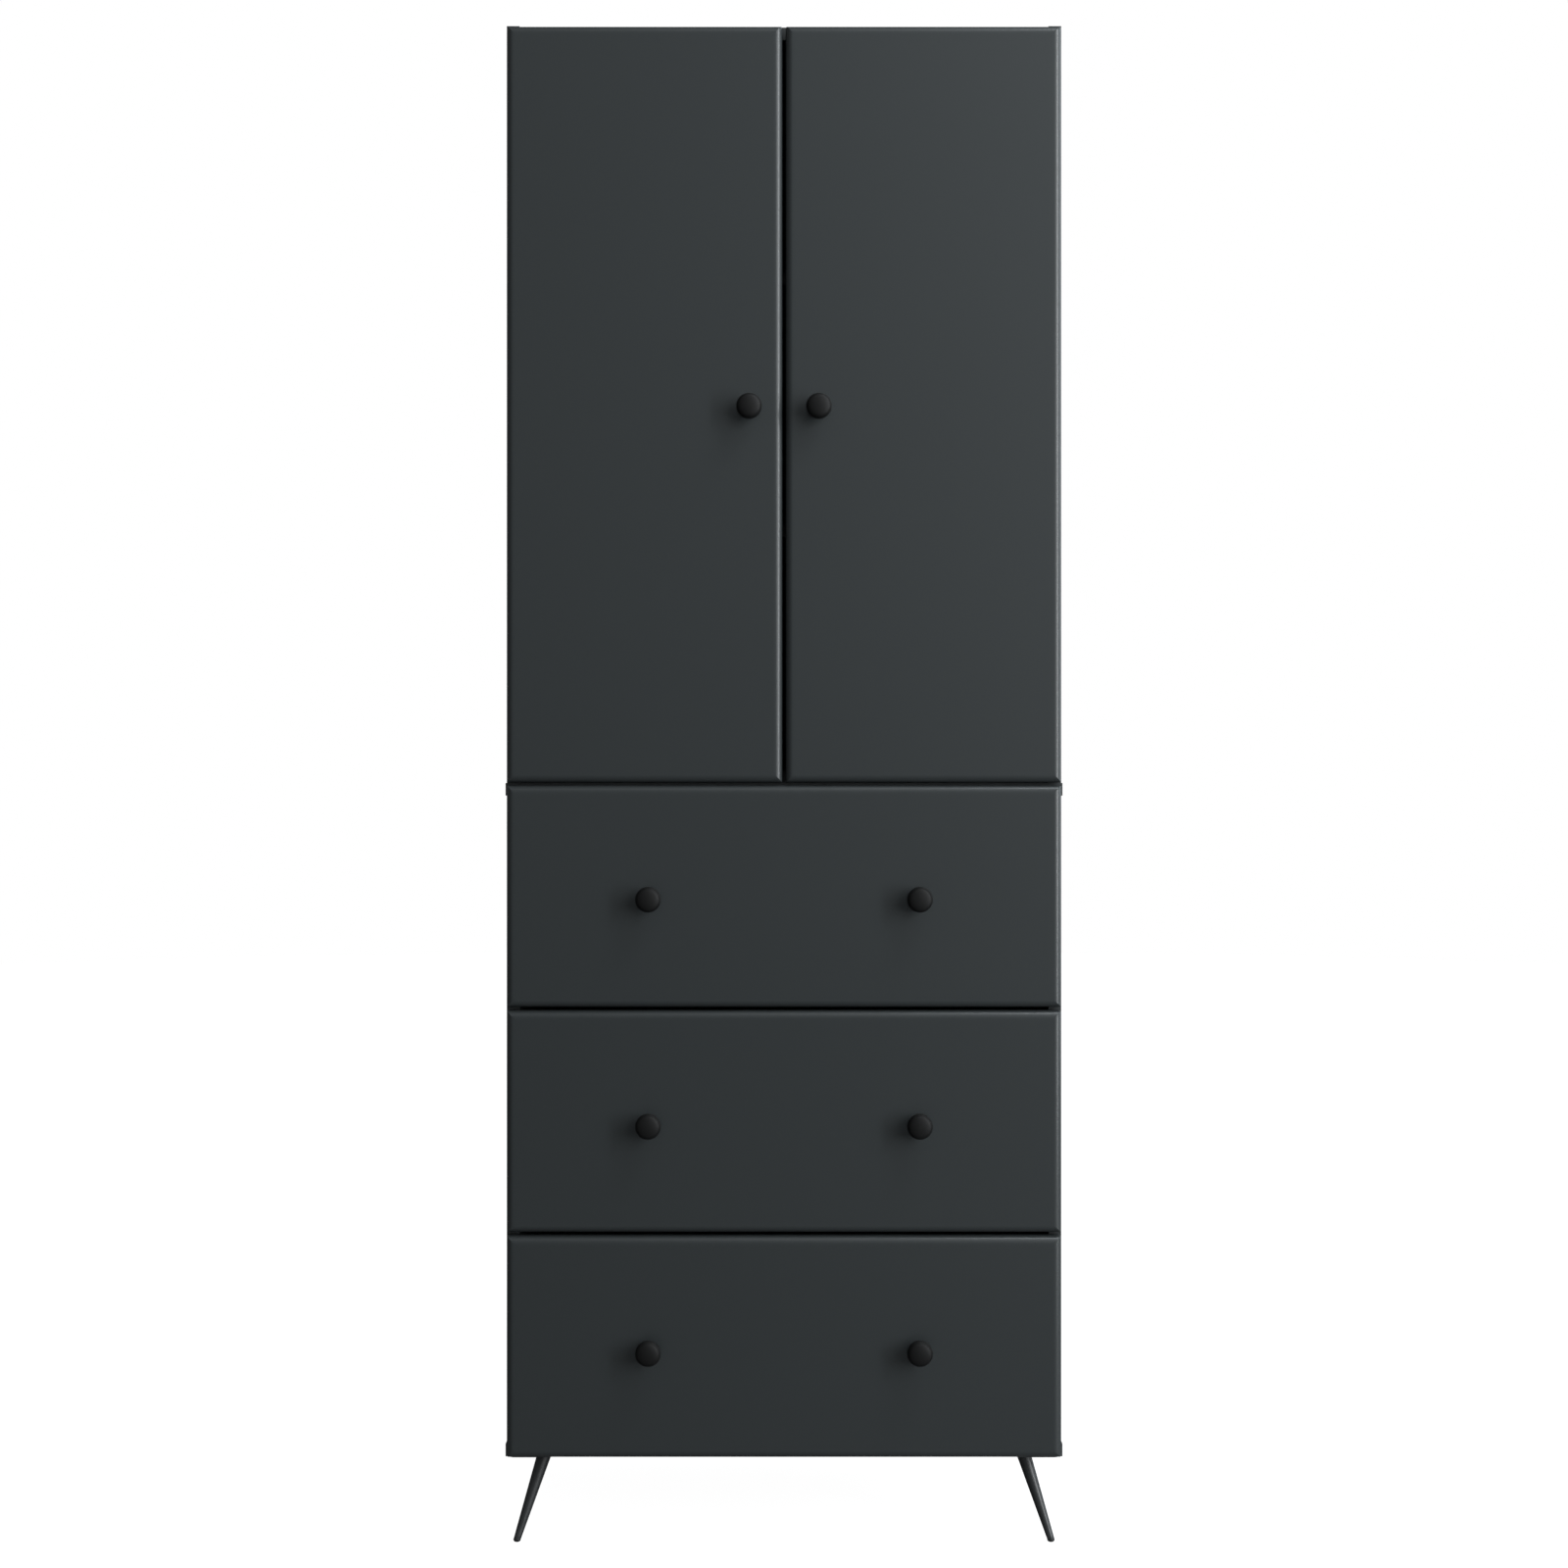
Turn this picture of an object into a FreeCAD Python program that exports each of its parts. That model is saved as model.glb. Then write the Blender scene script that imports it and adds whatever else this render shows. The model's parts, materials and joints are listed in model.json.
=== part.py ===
"""Highboard wardrobe: two doors over three drawers on four splayed steel legs. Millimetres, +Z up.

The origin is on the floor, under the middle of the whole cabinet. The front faces -Y.
"""
import FreeCAD, Part
import os
import Sketcher
from FreeCAD import Placement, Rotation, Vector

DIMENSIONS = {
    "overall_height": 1800.0,
    "overall_depth": 360.0,
    "board": 15.0,
    "board_width": 660.0,
    "side_inset": 1.5,
    "leg_height": 105.0,
    "unit_split": 903.0,
    "back_thick": 3.0,
    "top_setback": 5.0,
    "shelf_setback": 18.0,
    "lower_shelf_rise": 1196.5,
    "upper_shelf_rise": 1497.5,
    "face_thick": 16.0,
    "face_round": 8.5,
    "face_width": 654.0,
    "face_gap": 4.0,
    "bumper": 2.0,
    "door_base": 903.7,
    "door_height": 891.6,
    "door_knob_inset": 38.9,
    "door_knob_rise": 440.4,
    "drawer_base": 107.7,
    "drawer_height": 261.5,
    "drawer_knob_span": 318.2,
    "drawer_knob_drop": 3.0,
    "knob_reach": 25.0,
    "knob_radius": 15.0,
    "knob_neck": 7.0,
    "knob_foot": 9.0,
    "knob_flange": 2.0,
    "knob_neck_start": 5.0,
    "knob_neck_end": 9.0,
    "knob_flare": 12.0,
    "knob_flare_radius": 12.5,
    "knob_widest": 14.5,
    "knob_crown": 7.5,
    "knob_shoulder": 2.5,
    "knob_screw_radius": 2.0,
    "knob_screw_head": 4.0,
    "knob_screw_cap": 2.0,
    "knob_screw_grip": 12.0,
    "box_thick": 12.0,
    "box_height": 190.0,
    "box_length": 320.0,
    "box_rise": 25.0,
    "box_floor": 3.0,
    "box_floor_rise": 12.0,
    "box_floor_short": 2.0,
    "groove": 6.0,
    "runner_room": 13.0,
    "runner_length": 300.0,
    "runner_rise": 60.0,
    "runner_steel": 1.2,
    "runner_setback": 2.0,
    "outer_runner": 45.0,
    "outer_runner_depth": 9.5,
    "middle_runner": 37.2,
    "middle_runner_depth": 8.6,
    "inner_runner": 28.4,
    "inner_runner_depth": 8.0,
    "pin_radius": 2.5,
    "pin_length": 18.0,
    "pin_inset": 45.0,
    "pin_step": 32.0,
    "shelf_play": 0.5,
    "back_margin": 1.0,
    "cam_radius": 7.5,
    "cam_height": 12.5,
    "cam_inset": 34.0,
    "bolt_radius": 3.0,
    "bolt_anchor": 11.0,
    "fixing_inset": 50.0,
    "dowel_radius": 4.0,
    "dowel_length": 30.0,
    "dowel_grip": 10.0,
    "dowel_offset": 32.0,
    "plate_side": 55.0,
    "plate_thick": 2.0,
    "plate_round": 8.0,
    "plate_inset": 2.0,
    "leg_top_radius": 8.8,
    "leg_tip_radius": 4.1,
    "leg_top_inset": 42.0,
    "leg_tip_inset": 9.4,
    "pad_height": 4.0,
    "pad_radius": 4.4,
    "pad_round": 2.4,
    "weld_overlap": 10.0,
    "screw_radius": 1.75,
    "screw_head": 3.6,
    "screw_depth": 11.0,
    "screw_cap": 0.9,
    "connector_radius": 4.0,
    "connector_head": 7.0,
    "connector_cap": 1.5,
    "connector_side_inset": 60.0,
    "connector_row_inset": 70.0,
    "bracket_width": 30.0,
    "bracket_drop": 40.0,
    "bracket_flange": 25.0,
    "bracket_offset": 200.0,
    "bracket_screw_inset": 14.0,
    "anchor_drop": 25.0,
    "anchor_reach": 20.0,
    "anchor_radius": 2.75,
    "hinge_end": 100.0,
    "cup_radius": 17.5,
    "cup_depth": 11.5,
    "cup_wall": 1.2,
    "cup_centre": 22.5,
    "cup_flange_width": 26.0,
    "cup_flange_height": 60.0,
    "cup_flange_thick": 1.0,
    "cup_flange_round": 5.0,
    "cup_screw_head": 3.0,
    "cup_screw_cap": 0.6,
    "hinge_plate_thick": 2.0,
    "hinge_plate_width": 14.0,
    "hinge_plate_height": 46.0,
    "hinge_plate_row": 37.0,
    "hinge_rail_thick": 5.0,
    "hinge_rail_length": 44.0,
    "hinge_rail_height": 12.0,
    "hinge_rail_end": 60.0,
    "arm_thick": 11.0,
    "arm_length": 53.0,
    "arm_end": 62.0,
    "arm_height": 17.0,
    "arm_bore_height": 13.0,
    "arm_pin_radius": 1.2,
    "link_pivot_in": 17.0,
    "link_pivot_back": 4.5,
    "link_chord": 22.25,
    "link_bow": 5.0,
    "link_half": 1.75,
    "link_height": 11.0,
    "link_eye": 2.6,
    "link_bore": 1.25,
}

# Formulas in the sheet's terms that several sub-parts share.
FACE_Y = "(dims.knob_reach - (dims.overall_depth + dims.knob_reach) / 2)"
DOOR_BACK_Y = f"({FACE_Y} + dims.face_thick)"
CASE_Y = f"({DOOR_BACK_Y} + dims.bumper)"
BACK_Y = f"({FACE_Y} + dims.overall_depth)"
CASE_BACK_Y = f"({BACK_Y} - dims.back_thick)"
CASE_DEPTH = f"({CASE_BACK_Y} - {CASE_Y})"
SIDE_X = "(dims.board_width / 2 - dims.side_inset)"
INNER_X = f"({SIDE_X} - dims.board)"
LOWER_FLOOR_Z = "(dims.leg_height + dims.board)"
LOWER_CEILING_Z = "(dims.unit_split - dims.board)"
UPPER_FLOOR_Z = "(dims.unit_split + dims.board)"
UPPER_CEILING_Z = "(dims.overall_height - dims.board)"
HINGE_SEAT = "(dims.side_inset + dims.board - (dims.board_width - dims.face_width) / 2)"

TURNS = {
    "+z": Rotation(),
    "-z": Rotation(Vector(1, 0, 0), 180),
    "+x": Rotation(Vector(0, 1, 0), 90),
    "-x": Rotation(Vector(0, 1, 0), -90),
    "+y": Rotation(Vector(1, 0, 0), -90),
    "-y": Rotation(Vector(1, 0, 0), 90),
}
SIGNS = {"left": -1, "right": 1}
LEG_SCREWS = ((8, 8), (8, 38), (38, 8))
RUNNER_SCREWS = (37, 261)
HINGE_PLATE_SCREWS = (-16, 16)
CUP_SCREWS = (-24, 24)
LINK_REST_TURN = 31.1
EAR_OUTLINE = ((15.5, -9.5), (26.5, -9.5), (19.4, -2.3), (16.0, -1.6), (14.2, -3.6), (14.2, -5.4))
ARM_HOLLOW_OUTLINE = ((12, -61), (25, -61), (25, -9), (30, -9), (30, 2), (12, 2))
DRAWERS = {"bottom": 0, "middle": 1, "top": 2}
SHELF_RISES = ("dims.lower_shelf_rise", "dims.upper_shelf_rise")
DOOR_HINGE_HEIGHTS = (
    "(dims.door_base + dims.hinge_end)",
    "(dims.door_base + dims.door_height - dims.hinge_end)",
)

doc = FreeCAD.newDocument("highboard")
nodes = []


def make_sheet():
    """Write every driving dimension into the sheet, one named cell each."""
    sheet = doc.addObject("Spreadsheet::Sheet", "dims")
    for row, (alias, value) in enumerate(DIMENSIONS.items(), start=1):
        sheet.set(f"A{row}", alias)
        sheet.set(f"B{row}", str(value))
        sheet.setAlias(f"B{row}", alias)
    doc.recompute()
    return sheet


def keep(obj, label):
    """Name a finished sub-part and list it for writing."""
    obj.Label = label
    nodes.append(obj)
    return obj


def place(obj, x="0", y="0", z="0", turn="+z"):
    """Bind an object's place to the sheet and turn it to face one way."""
    obj.Placement = Placement(Vector(), TURNS[turn])
    for axis, formula in (("x", x), ("y", y), ("z", z)):
        obj.setExpression(f"Placement.Base.{axis}", formula)
    return obj


def box(name, size, corner):
    """A block with sides and lowest corner bound to the sheet."""
    block = doc.addObject("Part::Box", name)
    for side, formula in zip(("Length", "Width", "Height"), size):
        block.setExpression(side, formula)
    return place(block, *corner)


def rod(name, radius, length, start, turn):
    """A cylinder that starts at a point and runs one way."""
    cylinder = doc.addObject("Part::Cylinder", name)
    cylinder.setExpression("Radius", radius)
    cylinder.setExpression("Height", length)
    return place(cylinder, *start, turn=turn)


def group(name, members):
    """Several separate solids under one name."""
    together = doc.addObject("Part::Compound", name)
    together.Links = members
    return together


def cut(name, base, tools):
    """The base with every tool taken away."""
    result = doc.addObject("Part::Cut", name)
    result.Base = base
    result.Tool = tools[0] if len(tools) == 1 else group(name + "_tools", tools)
    return result


def fuse(name, members):
    """One solid made of touching members."""
    result = doc.addObject("Part::MultiFuse", name)
    result.Shapes = members
    return result


def copy_at(name, source, x="0", y="0", z="0"):
    """A linked copy of a piece, moved but not turned."""
    link = doc.addObject("App::Link", name)
    link.LinkedObject = source
    return place(link, x, y, z)


def mirrored(name, source):
    """The same piece reflected to the other side of the middle plane."""
    twin = doc.addObject("Part::Mirroring", name)
    twin.Source = source
    twin.Base = Vector(0, 0, 0)
    twin.Normal = Vector(1, 0, 0)
    return twin


def origin_plane(body, role):
    """One of a body's own origin planes."""
    return next(plane for plane in body.Origin.OriginFeatures if plane.Role == role)


def sketch_on(body, name, role):
    """An empty sketch on one of the body's origin planes."""
    sketch = body.newObject("Sketcher::SketchObject", name)
    sketch.AttachmentSupport = [(origin_plane(body, role), "")]
    sketch.MapMode = "FlatFace"
    return sketch


def bound(sketch, kind, refs, name, formula, start):
    """Add one named size to a sketch, first at its drawn value, and bind it to the sheet."""
    sketch.addConstraint(Sketcher.Constraint(kind, *refs, start))
    sketch.renameConstraint(sketch.ConstraintCount - 1, name)
    sketch.setExpression(f"Constraints.{name}", formula)


def draw_lines(sketch, points):
    """A closed outline of straight lines through the points."""
    first = sketch.GeometryCount
    count = len(points)
    for index, point in enumerate(points):
        following = points[(index + 1) % count]
        sketch.addGeometry(Part.LineSegment(Vector(*point, 0), Vector(*following, 0)))
    for index in range(count):
        after = first + (index + 1) % count
        sketch.addConstraint(Sketcher.Constraint("Coincident", first + index, 2, after, 1))
    return first


def draw_rectangle(sketch, wide, tall, left="0", low="0"):
    """A rectangle of bound sizes whose lower left corner is offset from the sketch origin."""
    drawn = 59.0
    near = 1.0
    far = near + drawn
    first = draw_lines(sketch, ((near, near), (far, near), (far, far), (near, far)))
    for line, way in ((0, "Horizontal"), (1, "Vertical"), (2, "Horizontal"), (3, "Vertical")):
        sketch.addConstraint(Sketcher.Constraint(way, first + line))
    bound(sketch, "DistanceX", (first, 1, first, 2), f"wide{first}", wide, drawn)
    bound(sketch, "DistanceY", (first + 1, 1, first + 1, 2), f"tall{first}", tall, drawn)
    bound(sketch, "DistanceX", (-1, 1, first, 1), f"left{first}", left, near)
    bound(sketch, "DistanceY", (-1, 1, first, 1), f"low{first}", low, near)


def draw_circle(sketch, radius, x="0", y="0"):
    """A circle of bound radius and centre."""
    drawn_radius = 5.0
    drawn_at = 30.0
    circle = Part.Circle(Vector(drawn_at, drawn_at, 0), Vector(0, 0, 1), drawn_radius)
    index = sketch.addGeometry(circle)
    bound(sketch, "Radius", (index,), f"radius{index}", radius, drawn_radius)
    bound(sketch, "DistanceX", (-1, 1, index, 3), f"across{index}", x, drawn_at)
    bound(sketch, "DistanceY", (-1, 1, index, 3), f"up{index}", y, drawn_at)


def pad(body, sketch, length, reverse=False, centred=False):
    """Extrude a sketch by a bound length."""
    feature = body.newObject("PartDesign::Pad", sketch.Name + "_pad")
    feature.Profile = sketch
    feature.Reversed = reverse
    feature.Midplane = centred
    feature.setExpression("Length", length)
    doc.recompute()
    return feature


def pocket(body, sketch, length, reverse=False, centred=False):
    """Cut a sketch into the body by a bound length, and make sure that something was cut."""
    before = body.Shape.Volume
    feature = body.newObject("PartDesign::Pocket", sketch.Name + "_pocket")
    feature.Profile = sketch
    feature.Reversed = reverse
    feature.Midplane = centred
    feature.setExpression("Length", length)
    doc.recompute()
    if body.Shape.Volume >= before:
        raise ValueError(f"{sketch.Name} cuts nothing from {body.Name}")
    return feature


def edges_where(shape, wanted):
    """The names of the edges that a test on the edge picks out."""
    return [f"Edge{i}" for i, edge in enumerate(shape.Edges, start=1) if wanted(edge)]


def fillet(body, base, names, radius):
    """Round the named edges of the body's last feature."""
    feature = body.newObject("PartDesign::Fillet", body.Name + "_round")
    feature.Base = (base, names)
    feature.setExpression("Radius", radius)
    doc.recompute()
    return feature


# ---------------------------------------------------------------- carcass

def joint_rows():
    """Depths of the fixings along one board joint: (cam rows, dowel rows)."""
    near = f"({CASE_Y} + dims.fixing_inset)"
    far = f"({CASE_BACK_Y} - dims.fixing_inset)"
    return (near, far), (f"({near} + dims.dowel_offset)", f"({far} - dims.dowel_offset)")


def flat_joint(tag, sign, middle_z):
    """Fixings where the end of a lying board meets a standing side, with the cams let in from below.

    The cams, bolts and dowels also serve as the drills for both boards.
    """
    inward = "-x" if sign > 0 else "+x"
    cam_x = f"{sign} * ({INNER_X} - dims.cam_inset)"
    bolt_x = f"{sign} * ({INNER_X} + dims.bolt_anchor)"
    dowel_x = f"{sign} * ({INNER_X} + dims.dowel_grip)"
    cam_z = f"{middle_z} - dims.board / 2"
    cam_rows, dowel_rows = joint_rows()
    bolt_length = "dims.cam_inset - dims.cam_radius + dims.bolt_anchor"
    parts = {"cams": [], "bolts": [], "dowels": []}
    for row in cam_rows:
        cam_start = (cam_x, row, cam_z)
        bolt_start = (bolt_x, row, middle_z)
        parts["cams"].append(rod(tag + "_cam", "dims.cam_radius", "dims.cam_height", cam_start, "+z"))
        parts["bolts"].append(rod(tag + "_bolt", "dims.bolt_radius", bolt_length, bolt_start, inward))
    for row in dowel_rows:
        parts["dowels"].append(
            rod(tag + "_dowel", "dims.dowel_radius", "dims.dowel_length", (dowel_x, row, middle_z), inward))
    return parts


def upright_joint(tag, sign, mate_z, way):
    """Fixings where the end of a standing side meets a lying board above (way +1) or below (way -1)."""
    middle_x = f"{sign} * ({SIDE_X} - dims.board / 2)"
    cam_x = f"{sign} * {INNER_X}"
    cam_z = f"{mate_z} - {way} * dims.cam_inset"
    bolt_z = f"{mate_z} + {way} * dims.bolt_anchor"
    dowel_z = f"{mate_z} + {way} * dims.dowel_grip"
    along = "-z" if way > 0 else "+z"
    cam_turn = "+x" if sign > 0 else "-x"
    cam_rows, dowel_rows = joint_rows()
    bolt_length = "dims.cam_inset - dims.cam_radius + dims.bolt_anchor"
    parts = {"cams": [], "bolts": [], "dowels": []}
    for row in cam_rows:
        cam_start = (cam_x, row, cam_z)
        bolt_start = (middle_x, row, bolt_z)
        parts["cams"].append(rod(tag + "_cam", "dims.cam_radius", "dims.cam_height", cam_start, cam_turn))
        parts["bolts"].append(rod(tag + "_bolt", "dims.bolt_radius", bolt_length, bolt_start, along))
    for row in dowel_rows:
        parts["dowels"].append(
            rod(tag + "_dowel", "dims.dowel_radius", "dims.dowel_length", (middle_x, row, dowel_z), along))
    return parts


def everything(parts):
    """All fixings of one joint, to drill both boards with."""
    return parts["cams"] + parts["bolts"] + parts["dowels"]


def connector(sign, near_row):
    """A sleeve bolt with a head at each end that clamps the two units together."""
    x = f"{sign} * ({INNER_X} - dims.connector_side_inset)"
    y = f"{CASE_Y} + dims.connector_row_inset" if near_row else f"{CASE_BACK_Y} - dims.connector_row_inset"
    shank = rod("connector_shank", "dims.connector_radius", "2 * dims.board", (x, y, LOWER_CEILING_Z), "+z")
    top = rod("connector_top", "dims.connector_head", "dims.connector_cap", (x, y, UPPER_FLOOR_Z), "+z")
    low = rod("connector_low", "dims.connector_head", "dims.connector_cap", (x, y, LOWER_CEILING_Z), "-z")
    return fuse("connector", [shank, top, low])


def pin_rows():
    """Depths of the front and rear shelf pins."""
    return f"{CASE_Y} + dims.pin_inset", f"{CASE_BACK_Y} - dims.pin_inset"


def pin_rod(sign, row, rise):
    """A shelf pin, half in the side and half under the shelf."""
    start = (f"{sign} * ({INNER_X} + dims.pin_length / 2)", row, f"{rise} - dims.pin_radius")
    turn = "-x" if sign > 0 else "+x"
    return rod("shelf_pin", "dims.pin_radius", "dims.pin_length", start, turn)


def shelf_pins(sign):
    """Every shelf pin on one side."""
    return [pin_rod(sign, row, rise) for rise in SHELF_RISES for row in pin_rows()]


def spare_pin_holes(sign):
    """Unused holes one step above and below each shelf pin."""
    steps = [f"({rise} {way} dims.pin_step)" for rise in SHELF_RISES for way in ("-", "+")]
    return [pin_rod(sign, row, rise) for rise in steps for row in pin_rows()]


def screw(name, start, turn):
    """A pan head screw: the shank runs on from the head's seat."""
    opposite = {"+": "-", "-": "+"}[turn[0]] + turn[1]
    shank = rod(name + "_shank", "dims.screw_radius", "dims.screw_depth", start, turn)
    head = rod(name + "_head", "dims.screw_head", "dims.screw_cap", start, opposite)
    return shank, head


def screw_set(name, places, drills, solids):
    """Screws at several places; their shanks also drill what they hold."""
    for start, turn in places:
        shank, head = screw(name, start, turn)
        drills.append(shank)
        solids.append(fuse(name, [shank, head]))
    return solids


def hinge_plate_places(sign):
    """Screw places of both hinge plates of one side."""
    seat = f"{sign} * ({INNER_X} - dims.hinge_plate_thick)"
    turn = "+x" if sign > 0 else "-x"
    row = f"{CASE_Y} + dims.hinge_plate_row"
    return [((seat, row, f"{height} + {shift}"), turn)
            for height in DOOR_HINGE_HEIGHTS for shift in HINGE_PLATE_SCREWS]


def runner_centre_z(index):
    """Height of one drawer's runners."""
    step = f"{index} * (dims.drawer_height + dims.face_gap)"
    return f"(dims.drawer_base + {step} + dims.box_rise + dims.runner_rise)"


def runner_screw_places(sign):
    """Screw places of the cabinet members on one side."""
    seat = f"{sign} * ({INNER_X} - dims.runner_steel)"
    turn = "+x" if sign > 0 else "-x"
    return [((seat, f"{CASE_Y} + {ahead}", runner_centre_z(index)), turn)
            for index in DRAWERS.values() for ahead in RUNNER_SCREWS]


def leg_screw_places(sign, front):
    """Three screws near the plate's free corners."""
    low = "dims.leg_height - dims.plate_thick"
    corner_x = f"{sign} * (dims.board_width / 2 - dims.plate_inset"
    places = []
    for across, along in LEG_SCREWS:
        x = f"{corner_x} - {across})"
        y = f"{CASE_Y} + dims.plate_inset + {along}" if front else f"{BACK_Y} - dims.plate_inset - {along}"
        places.append(((x, y, low), "+z"))
    return places


def bracket_screw_places():
    """One screw up into the top board for each wall bracket."""
    low = f"{UPPER_CEILING_Z} - dims.plate_thick"
    row = f"{CASE_BACK_Y} - dims.bracket_screw_inset"
    return [((f"{sign} * dims.bracket_offset", row, low), "+z") for sign in SIGNS.values()]


def anchor_hole(sign):
    """The hole for a wall screw, through the bracket and the back panel."""
    start_y = f"{CASE_BACK_Y} - dims.anchor_reach / 2"
    start = (f"{sign} * dims.bracket_offset", start_y, f"{UPPER_CEILING_Z} - dims.anchor_drop")
    return rod("anchor_hole", "dims.anchor_radius", "dims.anchor_reach", start, "+y")


def make_carcass():
    """Both units' boards, back panels and shelves, with the fixings that hold them."""
    fixings = {"cams": [], "bolts": [], "dowels": []}
    screws = []
    drills = {"upper_top": [], "upper_bottom": [], "lower_top": [], "lower_bottom": []}
    connectors = [connector(sign, near) for sign in SIGNS.values() for near in (True, False)]
    for side, sign in SIGNS.items():
        joints = {
            "upper_top": flat_joint("ut", sign, f"({UPPER_CEILING_Z} + dims.board / 2)"),
            "upper_bottom": flat_joint("ub", sign, "(dims.unit_split + dims.board / 2)"),
            "lower_top": upright_joint("lt", sign, LOWER_CEILING_Z, 1),
            "lower_bottom": upright_joint("lb", sign, LOWER_FLOOR_Z, -1),
        }
        for name, parts in joints.items():
            drills[name] += everything(parts)
            for kind in fixings:
                fixings[kind] += parts[kind]
        upper_drills = everything(joints["upper_top"]) + everything(joints["upper_bottom"])
        upper_drills += shelf_pins(sign) + spare_pin_holes(sign)
        lower_drills = everything(joints["lower_top"]) + everything(joints["lower_bottom"])
        screw_set("hinge_screw", hinge_plate_places(sign), upper_drills, screws)
        screw_set("runner_screw", runner_screw_places(sign), lower_drills, screws)
        for front in (True, False):
            screw_set("leg_screw", leg_screw_places(sign, front), drills["lower_bottom"], screws)
        left_x = SIDE_X if sign < 0 else INNER_X
        corner_x = f"{sign} * {left_x}"
        lower = box("lower_side", ("dims.board", CASE_DEPTH, f"{LOWER_CEILING_Z} - {LOWER_FLOOR_Z}"),
                    (corner_x, CASE_Y, LOWER_FLOOR_Z))
        keep(cut("drilled_lower_side", lower, lower_drills), f"lower_{side}_side")
        upper = box("upper_side", ("dims.board", CASE_DEPTH, "dims.overall_height - dims.unit_split"),
                    (corner_x, CASE_Y, "dims.unit_split"))
        keep(cut("drilled_upper_side", upper, upper_drills), f"upper_{side}_side")
    screw_set("bracket_screw", bracket_screw_places(), drills["upper_top"], screws)
    make_lying_boards(drills, connectors)
    make_backs()
    for kind, label in (("cams", "cam_locks"), ("bolts", "cam_bolts"), ("dowels", "wood_dowels")):
        keep(group(label, fixings[kind]), label)
    keep(group("unit_bolts", connectors), "unit_connector_bolts")
    keep(group("pins", shelf_pins(-1) + shelf_pins(1)), "shelf_pins")
    keep(group("screws", screws), "carcass_screws")


def make_lying_boards(drills, connectors):
    """The four lying boards and the two shelves."""
    half = "-dims.board_width / 2"
    inner = f"-{INNER_X}"
    wide = f"2 * {INNER_X}"
    setback_depth = f"{CASE_DEPTH} - dims.top_setback"
    setback_y = f"{CASE_Y} + dims.top_setback"
    boards = {
        "lower_bottom_board": (("dims.board_width", CASE_DEPTH, "dims.board"),
                               (half, CASE_Y, "dims.leg_height"), drills["lower_bottom"]),
        "lower_top_board": (("dims.board_width", CASE_DEPTH, "dims.board"),
                            (half, CASE_Y, LOWER_CEILING_Z), drills["lower_top"] + connectors),
        "upper_bottom_board": ((wide, setback_depth, "dims.board"),
                               (inner, setback_y, "dims.unit_split"), drills["upper_bottom"] + connectors),
        "upper_top_board": ((wide, setback_depth, "dims.board"),
                            (inner, setback_y, UPPER_CEILING_Z), drills["upper_top"]),
    }
    for label, (size, corner, tools) in boards.items():
        keep(cut("drilled_" + label, box(label + "_blank", size, corner), tools), label)
    shelf_depth = f"{CASE_DEPTH} - dims.shelf_setback"
    for level in ("lower", "upper"):
        corner = (f"{inner} + dims.shelf_play", f"{CASE_Y} + dims.shelf_setback", f"dims.{level}_shelf_rise")
        size = (f"{wide} - 2 * dims.shelf_play", shelf_depth, "dims.board")
        keep(box(f"{level}_shelf_board", size, corner), f"{level}_shelf")


def make_backs():
    """Thin back panels nailed on behind the boards."""
    margins = "2 * dims.back_margin"
    wide = f"2 * {SIDE_X} - {margins}"
    left = f"-{SIDE_X} + dims.back_margin"
    lower_size = (wide, "dims.back_thick", f"dims.unit_split - dims.leg_height - {margins}")
    lower = box("lower_back", lower_size, (left, CASE_BACK_Y, "dims.leg_height + dims.back_margin"))
    keep(lower, "lower_back_panel")
    upper_size = (wide, "dims.back_thick", f"dims.overall_height - dims.unit_split - {margins}")
    upper = box("upper_back", upper_size, (left, CASE_BACK_Y, "dims.unit_split + dims.back_margin"))
    keep(cut("upper_back_drilled", upper, [anchor_hole(-1), anchor_hole(1)]), "upper_back_panel")


def make_wall_brackets():
    """Two steel angles under the top board, each with a hole for a wall screw."""
    brackets = []
    for sign in SIGNS.values():
        left = f"{sign} * dims.bracket_offset - dims.bracket_width / 2"
        flange_y = f"{CASE_BACK_Y} - dims.bracket_flange"
        flange = box("bracket_flange", ("dims.bracket_width", "dims.bracket_flange", "dims.plate_thick"),
                     (left, flange_y, f"{UPPER_CEILING_Z} - dims.plate_thick"))
        drop = box("bracket_drop", ("dims.bracket_width", "dims.plate_thick", "dims.bracket_drop"),
                   (left, f"{CASE_BACK_Y} - dims.plate_thick", f"{UPPER_CEILING_Z} - dims.bracket_drop"))
        angle = fuse("bracket_angle", [flange, drop])
        start, turn = bracket_screw_places()[0 if sign < 0 else 1]
        shank = rod("bracket_hole", "dims.screw_radius", "dims.screw_depth", start, turn)
        brackets.append(cut("bracket", angle, [anchor_hole(sign), shank]))
    keep(group("brackets", brackets), "wall_brackets")


# ---------------------------------------------------------------- legs

def make_leg_plate():
    """A square steel plate with rounded corners, its outer front corner at the local origin."""
    body = doc.addObject("PartDesign::Body", "leg_plate")
    outline = sketch_on(body, "plate_outline", "XY_Plane")
    draw_rectangle(outline, "dims.plate_side", "dims.plate_side")
    plate = pad(body, outline, "dims.plate_thick")
    upright = edges_where(plate.Shape, lambda e: e.BoundBox.ZLength > 1 and e.BoundBox.XLength < 1e-6)
    fillet(body, plate, upright, "dims.plate_round")
    return body


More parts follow.
